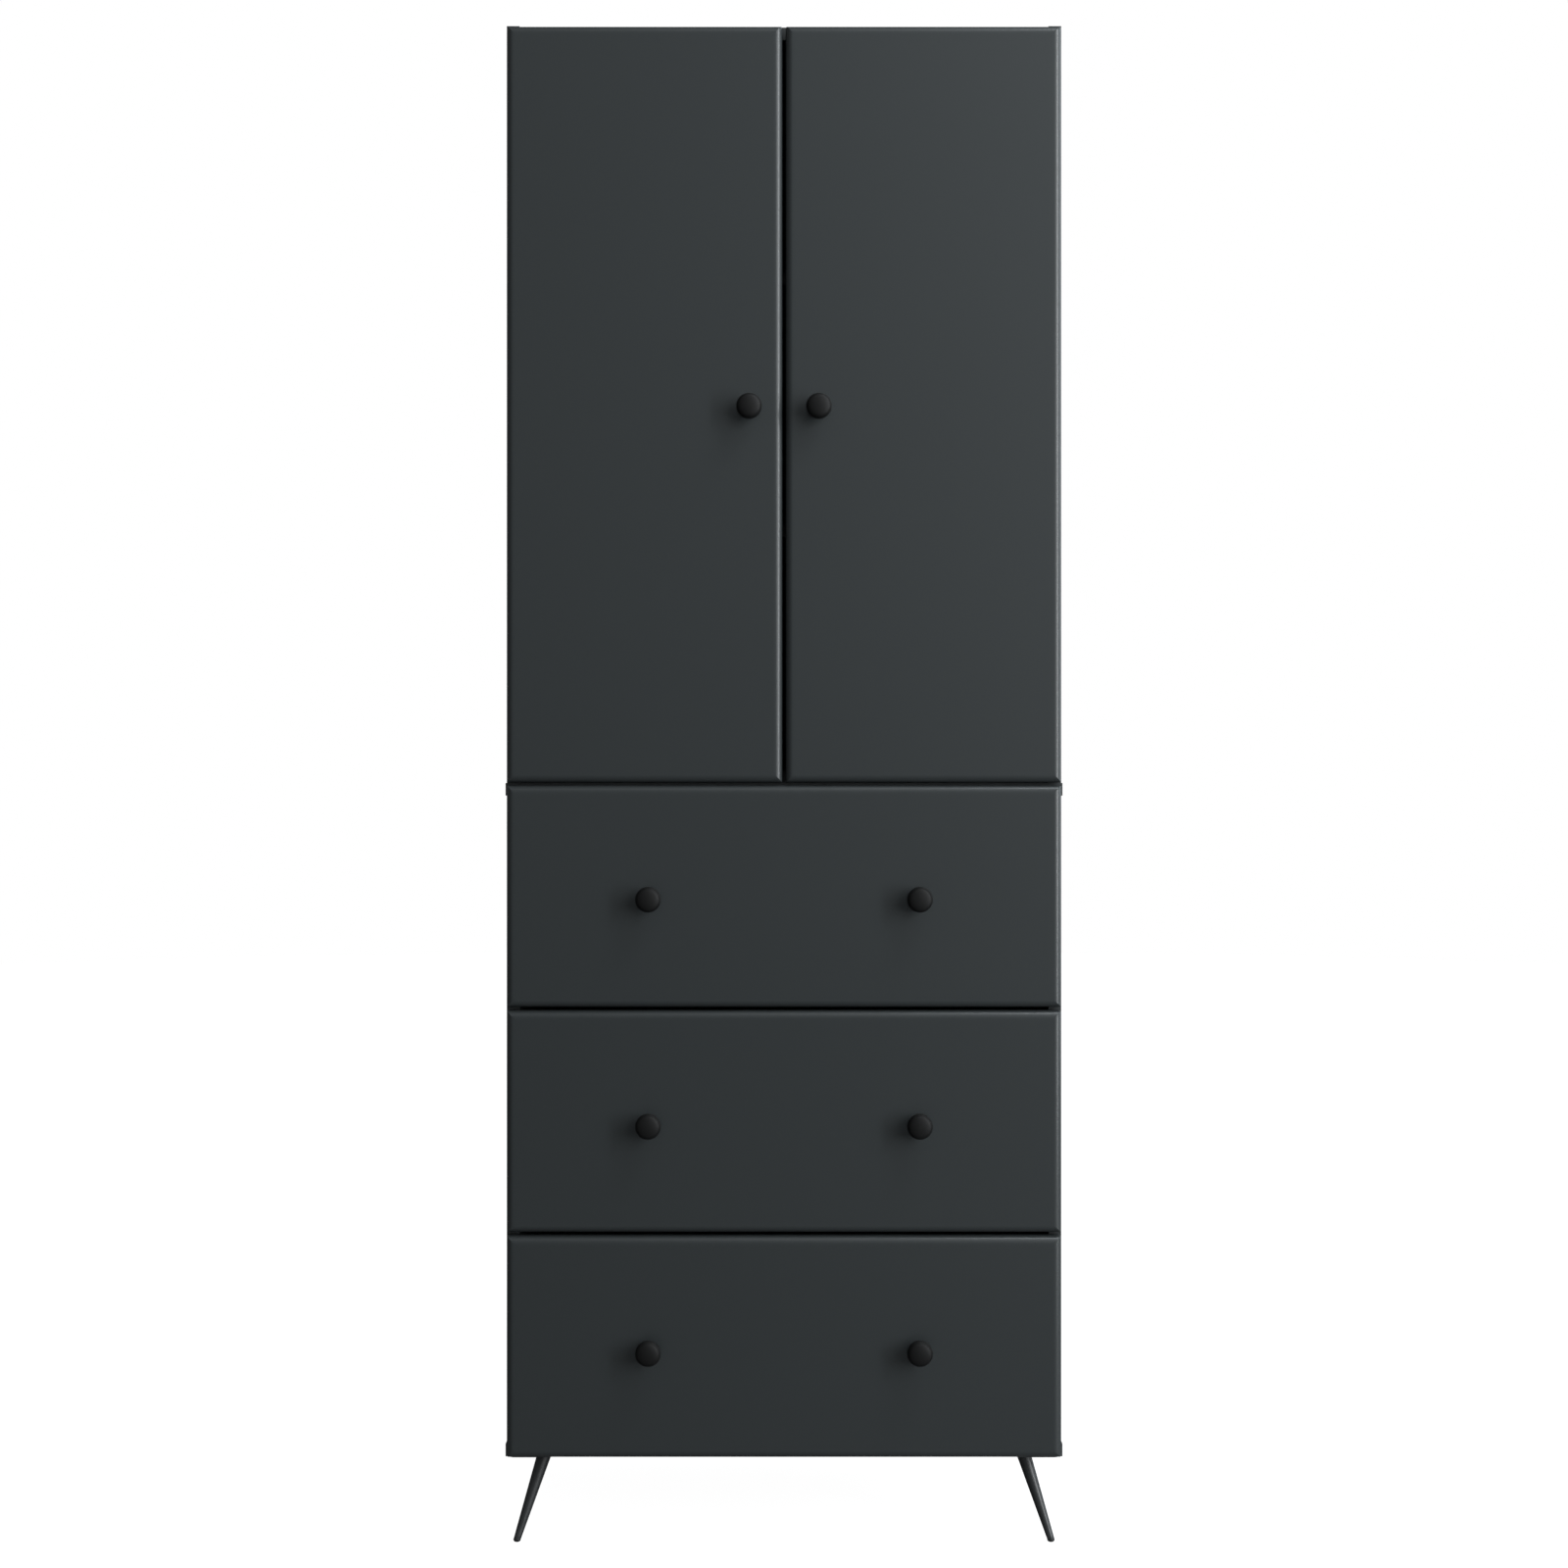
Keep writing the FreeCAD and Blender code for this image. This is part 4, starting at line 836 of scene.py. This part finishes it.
    def _level_ring(self, centre: Vector, radius: float, count: int) -> list[Vector]:
        """Cut the slanted rod level.

        Args:
            centre: the ring's centre.
            radius: the rod's radius there.
            count: how many points the ring has.

        Returns:
            An ellipse, longer in the direction of the splay.
        """
        top, tip = self.centre_line()
        lean = Vector((tip.x - top.x, tip.y - top.y, 0))
        slant = atan2(lean.length, top.z - tip.z)
        along = lean.normalized()
        across = Vector((-along.y, along.x, 0))
        long_radius = radius / cos(slant)
        return [centre + along * (long_radius * cos(a)) + across * (radius * sin(a))
                for a in full_turn(count)]

    def _weld(self, shape: BMesh) -> None:
        """Add a small, uneven bead of weld where the rod meets the plate.

        Args:
            shape: where to build.
        """
        top, _ = self.centre_line()
        rows = []
        for i, point in enumerate(self._level_ring(top, self.top_radius, self.WELD_COUNT)):
            out = (point - top).normalized()
            size = self.bead * (1 + self.unevenness * sin(i * self.RIPPLE))
            section = [point + out * (size * cos(a)) + Vector((0, 0, size * sin(a)))
                       for a in full_turn(self.BEAD_COUNT)]
            rows.append([shape.verts.new(place) for place in section])
        for row, ahead in zip(rows, rows[1:] + rows[:1]):
            band(shape, row, ahead)


@dataclass
class Pad:
    """A foot pad with a rounded lower edge and a collar that holds the leg's tip.

    Attributes:
        centre: its middle on the floor.
        radius: its radius.
        fillet: radius of its lower edge.
        height: its height.
        dimple: radius of the small flats that close both ends.
    """

    centre: Vector
    radius: float = 4.4 * MM
    fillet: float = 2.4 * MM
    height: float = 4.0 * MM
    dimple: float = 0.3 * MM
    SEGMENTS: ClassVar[int] = 32
    COLLAR: ClassVar[tuple[tuple[float, float], ...]] = (
        (0.8 * MM, 0.0), (0.2 * MM, 0.4 * MM), (0.0, 0.9 * MM))

    def build(self, shape: BMesh) -> None:
        """Add the pad.

        Args:
            shape: where to build.
        """
        straight = self.radius - self.fillet
        profile = [(0.0, self.dimple), (0.0, straight)]
        for angle in arc(15, 90, 5):
            profile.append((self.fillet * (1 - cos(angle)), straight + self.fillet * sin(angle)))
        for below, inset in self.COLLAR:
            profile.append((self.height - below, self.radius - inset))
        profile.append((self.height, self.dimple))
        lathe(shape, profile, self.centre, Vector((0, 0, 1)), self.SEGMENTS)


@dataclass
class Feet:
    """Four legs and the pads that they stand on."""

    CORNERS = ("front_left", "front_right", "rear_left", "rear_right")
    PAD_SHARE = 0.975

    paints: Paints

    def build(self) -> None:
        """Make every leg and pad."""
        shape = bmesh.new()
        for where in self.CORNERS:
            leg = Leg(where)
            leg.build(self.paints["leg_steel"])
            top, tip = leg.centre_line()
            middle = top.lerp(tip, self.PAD_SHARE)
            Pad(Vector((middle.x, middle.y, 0.0))).build(shape)
        piece = finished("foot_pads_moulded", shape, self.paints["foot_plastic"])
        place_piece(piece, "carcass", "foot_plastic", "foot_pads")


# ---- fasteners

@dataclass(frozen=True)
class Head:
    """The head of a nail or screw.

    Attributes:
        radius: its radius.
        rise: how high it stands.
        recess: the drive cut in it.
    """

    radius: float
    rise: float
    recess: Recess = Recess.NONE
    COUNT: ClassVar[int] = 24
    PROFILE: ClassVar[tuple[tuple[float, float], ...]] = ((0.0, 0.98), (0.35, 1.0), (0.75, 0.86), (1.0, 0.62))
    CROSS_FLOOR: ClassVar[tuple[float, float]] = (0.25, 0.75)
    CROSS_CORE: ClassVar[float] = 0.16
    CROSS_ARM: ClassVar[float] = 0.36

    def build(self) -> Object:
        """Make the head, looking up with its seat at Z = 0, as an object to copy from."""
        rings = [circle(self.radius * across, self.rise * up, self.COUNT) for up, across in self.PROFILE]
        if self.recess is Recess.CROSS:
            up, across = self.CROSS_FLOOR
            rings.append(self._cross_ring(self.radius, self.rise))
            rings.append(self._cross_ring(self.radius * across, self.rise * up))
        shape = bmesh.new()
        skin_rings(shape, rings)
        bmesh.ops.recalc_face_normals(shape, faces=shape.faces)
        return bpy.data.objects.new("head", mesh_of("head", shape))

    def _cross_ring(self, radius: float, height: float) -> list[Vector]:
        """A plus-shaped ring with as many points as the head's rings."""
        ring = []
        for angle in full_turn(self.COUNT):
            reach = radius * (self.CROSS_CORE + self.CROSS_ARM * abs(cos(2 * angle)) ** 3)
            ring.append(Vector((reach * cos(angle), reach * sin(angle), height)))
        return ring


@dataclass(frozen=True)
class FastenerSet:
    """Equal fasteners that make one piece.

    Attributes:
        name: the piece's name.
        body: the body it moves with.
        head: their head.
        seats: where they sit.
        facing: which way they look.
        seed: fixes their random spin.
        slot: the record's material slot.
        finish: their finish.
        spin: largest spin in radians.
    """

    name: str
    body: str
    head: Head
    seats: list[Vector]
    facing: Facing
    seed: int
    slot: str = "zinc_steel"
    finish: str = "zinc_steel"
    spin: float = pi


class FastenerField:
    """Sets out heads of nails and screws by one Geometry Nodes tree."""

    INPUTS = {"Geometry": "Geometry", "Head": "Object", "Facing": "Vector", "Spin": "Float", "Seed": "Int",
              "Finish": "Material"}
    NODES = ("NodeGroupInput", "NodeGroupOutput", "GeometryNodeObjectInfo", "GeometryNodeInstanceOnPoints",
             "FunctionNodeRandomValue", "ShaderNodeCombineXYZ", "FunctionNodeEulerToRotation",
             "FunctionNodeEulerToRotation", "FunctionNodeRotateRotation", "GeometryNodeRealizeInstances",
             "GeometryNodeSetMaterial")
    MOST_SPIN = 3
    SPIN_RESULT = 1
    SHARP = 35.0

    def __init__(self) -> None:
        """Build the tree that puts a head on every point."""
        self.tree = self._tree()
        self.heads: dict[Head, Object] = {}

    @classmethod
    def _tree(cls) -> NodeTree:
        """A head on each point, facing one way, each with its own spin, made real and given a material."""
        tree = bpy.data.node_groups.new("fasteners_on_points", "GeometryNodeTree")
        for label, kind in cls.INPUTS.items():
            tree.interface.new_socket(label, in_out="INPUT", socket_type="NodeSocket" + kind)
        tree.interface.new_socket("Geometry", in_out="OUTPUT", socket_type="NodeSocketGeometry")
        given, result, head, on_points, spin, axis, turn, aim, both, real, paint = (
            tree.nodes.new(kind) for kind in cls.NODES)
        spin.data_type = "FLOAT"
        both.rotation_space = "LOCAL"
        wire(tree, (given, "Geometry", on_points, "Points"), (given, "Head", head, "Object"),
             (head, "Geometry", on_points, "Instance"), (given, "Spin", spin, cls.MOST_SPIN),
             (given, "Seed", spin, "Seed"), (spin, cls.SPIN_RESULT, axis, "Z"),
             (axis, "Vector", turn, "Euler"), (given, "Facing", aim, "Euler"),
             (aim, "Rotation", both, "Rotation"), (turn, "Rotation", both, "Rotate By"),
             (both, "Rotation", on_points, "Rotation"),
             (on_points, "Instances", real, "Geometry"), (real, "Geometry", paint, "Geometry"),
             (given, "Finish", paint, "Material"), (paint, "Geometry", result, "Geometry"))
        return tree

    def set_out(self, row: FastenerSet, material: Material) -> Object:
        """Put a head on every seat.

        Args:
            row: the set of fasteners.
            material: their finish.

        Returns:
            All of them as one plain mesh.
        """
        if row.head not in self.heads:
            self.heads[row.head] = row.head.build()
        cloud = bpy.data.meshes.new(row.name + "_points")
        cloud.from_pydata([tuple(seat) for seat in row.seats], [], [])
        holder = shown(row.name, cloud)
        modifier = holder.modifiers.new("fasteners", "NODES")
        modifier.node_group = self.tree
        sockets = {item.name: item.identifier for item in self.tree.interface.items_tree
                   if item.in_out == "INPUT"}
        values = {"Head": self.heads[row.head], "Facing": row.facing.value, "Spin": row.spin,
                  "Seed": row.seed, "Finish": material}
        for label, value in values.items():
            modifier[sockets[label]] = value
        bpy.context.view_layer.update()
        graph = bpy.context.evaluated_depsgraph_get()
        result = bpy.data.meshes.new_from_object(holder.evaluated_get(graph), depsgraph=graph)
        holder.modifiers.remove(modifier)
        holder.data = result
        smoothed(result, self.SHARP)
        if not result.materials:
            result.materials.append(material)
        return holder


@dataclass
class Hardware:
    """Nails in the back panels, screws in plates and panels, and the door bumpers."""

    NAIL = Head(2.4 * MM, 0.5 * MM)
    NAIL_MARGIN = 7 * MM
    NAIL_PITCH = 118 * MM
    DRAWER_SCREW = Head(3.4 * MM, 0.8 * MM, Recess.CROSS)
    DRAWER_SCREW_RISES = (40 * MM, 95 * MM, 150 * MM)
    DRAWER_SCREW_INSET = 6 * MM
    KNOB_SCREW = Head(4.4 * MM, 2.0 * MM, Recess.CROSS)
    HINGE_SCREW = Head(3.8 * MM, 1.3 * MM, Recess.CROSS)
    HINGE_END = 23 * MM
    HINGE_SPREAD = 16 * MM
    HINGE_PLATE = 2 * MM
    HINGE_ROW = 37 * MM
    LEG_SCREW = Head(3.9 * MM, 1.5 * MM, Recess.CROSS)
    LEG_NEAR = 8 * MM
    LEG_FAR = 38 * MM
    BUMPER = Head(4.0 * MM, 1.4 * MM)
    BUMPER_INSET = 30 * MM
    paints: Paints
    fasteners: FastenerField = field(default_factory=FastenerField)

    def build(self) -> None:
        """Make every set of fasteners."""
        for rows in (self.back_nails(), self.drawer_screws(), self.knob_screws(), self.hinge_plate_screws(),
                     self.leg_plate_screws(), self.bumpers()):
            for row in rows:
                place_piece(self.fasteners.set_out(row, self.paints[row.finish]), row.body, row.slot)

    def back_nails(self) -> Iterator[FastenerSet]:
        """Flat-headed nails along the edges of both back panels."""
        for level, seed in (("lower", 3), ("upper", 4)):
            low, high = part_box(f"{level}_back_panel")
            yield FastenerSet(f"{level}_back_nails", "carcass", self.NAIL, self._border(low, high),
                              Facing.BACK, seed)

    def _border(self, low: Vector, high: Vector) -> list[Vector]:
        """Space seats evenly round a back panel's outer face.

        Args:
            low: the panel's lowest corner.
            high: its highest corner.

        Returns:
            The seats.
        """
        margin = self.NAIL_MARGIN
        wide = high.x - low.x - 2 * margin
        tall = high.z - low.z - 2 * margin
        across = max(1, round(wide / self.NAIL_PITCH))
        up = max(1, round(tall / self.NAIL_PITCH))
        seats = []
        for i in range(across + 1):
            x = low.x + margin + wide * i / across
            seats += [Vector((x, high.y, low.z + margin)), Vector((x, high.y, high.z - margin))]
        for i in range(1, up):
            z = low.z + margin + tall * i / up
            seats += [Vector((low.x + margin, high.y, z)), Vector((high.x - margin, high.y, z))]
        return seats

    def drawer_screws(self) -> Iterator[FastenerSet]:
        """Cross-headed screws through the sides of each drawer box into its back."""
        for seed, name in enumerate(DRAWERS, 20):
            for side, facing in (("left", Facing.LEFT), ("right", Facing.RIGHT)):
                low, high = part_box(f"{name}_drawer_{side}_side")
                x = low.x if side == "left" else high.x
                seats = [Vector((x, high.y - self.DRAWER_SCREW_INSET, low.z + rise))
                         for rise in self.DRAWER_SCREW_RISES]
                yield FastenerSet(f"{name}_drawer_{side}_screws", f"{name}_drawer", self.DRAWER_SCREW, seats,
                                  facing, seed)

    def knob_screws(self) -> Iterator[FastenerSet]:
        """Large-headed screws behind each drawer front that hold its two knobs."""
        for seed, name in enumerate(DRAWERS, 30):
            low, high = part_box(f"{name}_drawer_knobs")
            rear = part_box(f"{name}_drawer_front")[1].y
            radius = Knob.head_radius
            seats = [Vector((x, rear, (low.z + high.z) / 2)) for x in (low.x + radius, high.x - radius)]
            yield FastenerSet(f"{name}_drawer_knob_screws", f"{name}_drawer", self.KNOB_SCREW, seats,
                              Facing.BACK, seed)

    def hinge_plate_screws(self) -> Iterator[FastenerSet]:
        """Two heads on the wings of each hinge plate."""
        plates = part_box("hinge_arms_and_plates")
        ends = (plates[0].z + self.HINGE_END, plates[1].z - self.HINGE_END)
        for side, facing in (("left", Facing.RIGHT), ("right", Facing.LEFT)):
            low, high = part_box(f"upper_{side}_side")
            inner = high.x + self.HINGE_PLATE if side == "left" else low.x - self.HINGE_PLATE
            seats = [Vector((inner, low.y + self.HINGE_ROW, end + shift))
                     for end in ends for shift in (-self.HINGE_SPREAD, self.HINGE_SPREAD)]
            yield FastenerSet(f"{side}_hinge_plate_screws", "carcass", self.HINGE_SCREW, seats, facing, 41,
                              "nickel_steel", "nickel_steel")

    def leg_plate_screws(self) -> Iterator[FastenerSet]:
        """Three pan heads under each leg's plate, near its free corners."""
        near, far = self.LEG_NEAR, self.LEG_FAR
        seats = []
        for where in Feet.CORNERS:
            outer, inward = Leg(where).corner_point()
            for across, along in ((near, near), (near, far), (far, near)):
                seats.append(outer + Vector((inward.x * across, inward.y * along, 0)))
        yield FastenerSet("leg_plate_screws", "carcass", self.LEG_SCREW, seats, Facing.DOWN, 50)

    def bumpers(self) -> Iterator[FastenerSet]:
        """Clear domes on the carcass that the doors close against."""
        for side in SIDES:
            low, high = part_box(f"upper_{side}_side")
            seats = [Vector(((low.x + high.x) / 2, low.y, z))
                     for z in (low.z + self.BUMPER_INSET, high.z - self.BUMPER_INSET)]
            yield FastenerSet(f"{side}_door_bumpers", "carcass", self.BUMPER, seats, Facing.FRONT, 9,
                              "foot_plastic", "clear_bumper", 0.0)


# ---- CAD nodes

@dataclass
class CarriedNodes:
    """CAD nodes whose shape is right: each only gets its finish."""

    paints: Paints

    def dress(self) -> None:
        """Give every node the finish of its material slot."""
        slots = {part["node"]: part["material_slot"] for part in frame["record"]["subparts"]}
        for name, node in frame["nodes"].items():
            paint = self.paints[slots[name]]
            node.data.materials.clear()
            node.data.materials.append(paint)
        LOG.info("%d nodes dressed", len(frame["nodes"]))


# ---- studio

@dataclass(frozen=True)
class StudioLight:
    """A rectangular soft box, or a light so far away that it falls evenly.

    Attributes:
        name: the light's name.
        place: where it hangs, or the direction that a distant light comes from.
        aim: the point it looks at.
        power: in watts, or in watts per square metre if distant.
        size: width and height of a soft box.
        spread: apparent size of a distant light in degrees, and 0 for a soft box.
        tint: its colour.
    """

    name: str
    place: tuple[float, float, float]
    aim: tuple[float, float, float]
    power: float
    size: tuple[float, float] = (1.0, 1.0)
    spread: float = 0.0
    tint: Rgb = (1.0, 1.0, 1.0)

    def build(self) -> None:
        """Hang the light."""
        lamp = bpy.data.lights.new(self.name, "SUN" if self.spread else "AREA")
        if self.spread:
            lamp.angle = radians(self.spread)
        else:
            lamp.shape = "RECTANGLE"
            lamp.size, lamp.size_y = self.size
        lamp.energy = self.power
        lamp.color = self.tint
        direction = Vector(self.aim) - Vector(self.place)
        turn = direction.to_track_quat("-Z", "Y").to_matrix().to_4x4()
        shown(self.name, lamp).matrix_world = Matrix.Translation(self.place) @ turn


class Studio:
    """A pale floor, soft light from the upper right and a level camera in front of the middle."""

    CAMERA_DISTANCE = 2.563
    CAMERA_HEIGHT = 0.9018
    LENS = 50.0
    SENSOR = 36.0
    FLOOR_RADIUS = 9.0
    FLOOR_TONE = (0.22, 0.22, 0.22, 1)
    FLOOR_GLOW = 0.97
    SHED_TONE = (0.93, 0.97, 1.0, 1)
    SHED_STRENGTH = 0.16
    COOL = (0.9, 0.96, 1.0)
    COLD = (0.84, 0.93, 1.0)
    ORIGIN = (0.0, 0.0, 0.0)
    LIGHTS = (
        StudioLight("key_right", (2.7, -1.9, 1.45), (0.0, -0.16, 0.9), 92.0, (0.45, 4.3), tint=COOL),
        StudioLight("rim_right", (2.3, 0.9, 1.8), (0.33, -0.16, 1.0), 24.0, (0.9, 3.2), tint=COLD),
        StudioLight("rim_top", (1.15, -1.0, 3.3), (0.3, -0.16, 0.9), 24.0, (0.9, 0.9), tint=COOL),
        StudioLight("front_right", (1.15, -1.0, 0.3), ORIGIN, 1.26, spread=52.0),
        StudioLight("high_front", (0.1, -0.9, 1.15), ORIGIN, 0.12, spread=30.0),
        StudioLight("low_right_back", (0.9, 0.42, 0.1), ORIGIN, 0.1, spread=34.0, tint=COLD),
    )

    def build(self) -> None:
        """Set floor, world, lights and camera."""
        bpy.context.scene.view_settings.view_transform = "Standard"
        self._floor()
        self._world()
        for light in self.LIGHTS:
            light.build()
        self._camera()

    def _floor(self) -> None:
        """A round pale floor that fades into the white surround."""
        material = bpy.data.materials.new("pale_floor")
        material.use_nodes = True
        tree = material.node_tree
        lit = tree.nodes["Principled BSDF"]
        for label, value in (("Base Color", self.FLOOR_TONE), ("Roughness", 0.9),
                             ("Specular IOR Level", 0.0)):
            lit.inputs[label].default_value = value
        glow = tree.nodes.new("ShaderNodeEmission")
        path = tree.nodes.new("ShaderNodeLightPath")
        only_seen = product(tree)
        only_seen.inputs[1].default_value = self.FLOOR_GLOW
        total = tree.nodes.new("ShaderNodeAddShader")
        wire(tree, (path, "Is Camera Ray", only_seen, 0), (only_seen, "Value", glow, "Strength"),
             (lit, "BSDF", total, 0), (glow, "Emission", total, 1),
             (total, "Shader", tree.nodes["Material Output"], "Surface"))
        shape = bmesh.new()
        bmesh.ops.create_circle(shape, cap_ends=True, segments=96, radius=self.FLOOR_RADIUS)
        mesh = mesh_of("floor", shape)
        mesh.materials.append(material)
        shown("floor", mesh)

    def _world(self) -> None:
        """White behind everything, and a much weaker grey for the light it sheds."""
        world = bpy.data.worlds.new("surround")
        world.use_nodes = True
        tree = world.node_tree
        seen = tree.nodes["Background"]
        seen.inputs["Color"].default_value = (1, 1, 1, 1)
        shed = tree.nodes.new("ShaderNodeBackground")
        shed.inputs["Color"].default_value = self.SHED_TONE
        shed.inputs["Strength"].default_value = self.SHED_STRENGTH
        path = tree.nodes.new("ShaderNodeLightPath")
        blend = tree.nodes.new("ShaderNodeMixShader")
        wire(tree, (path, "Is Camera Ray", blend, "Fac"), (shed, "Background", blend, 1),
             (seen, "Background", blend, 2), (blend, "Shader", tree.nodes["World Output"], "Surface"))
        bpy.context.scene.world = world

    def _camera(self) -> None:
        """A level camera, square to the fronts and at the middle of the cabinet's height."""
        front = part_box("top_drawer_front")[0].y
        data = bpy.data.cameras.new("camera")
        data.lens = self.LENS
        data.sensor_width = self.SENSOR
        camera = shown("camera", data)
        camera.location = (0.0, front - self.CAMERA_DISTANCE, self.CAMERA_HEIGHT)
        camera.rotation_euler = (pi / 2, 0.0, 0.0)
        bpy.context.scene.camera = camera


def main() -> None:
    """Build the cabinet's visible pieces and the studio."""
    logging.basicConfig(level=logging.INFO)
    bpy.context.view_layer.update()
    book = NodeBook()
    paints = {finish.name: finish.build(book) for finish in FINISHES}
    CarriedNodes(paints).dress()
    Fronts(paints).build()
    Feet(paints).build()
    Hardware(paints).build()
    Studio().build()


if __name__ == "__main__":
    main()
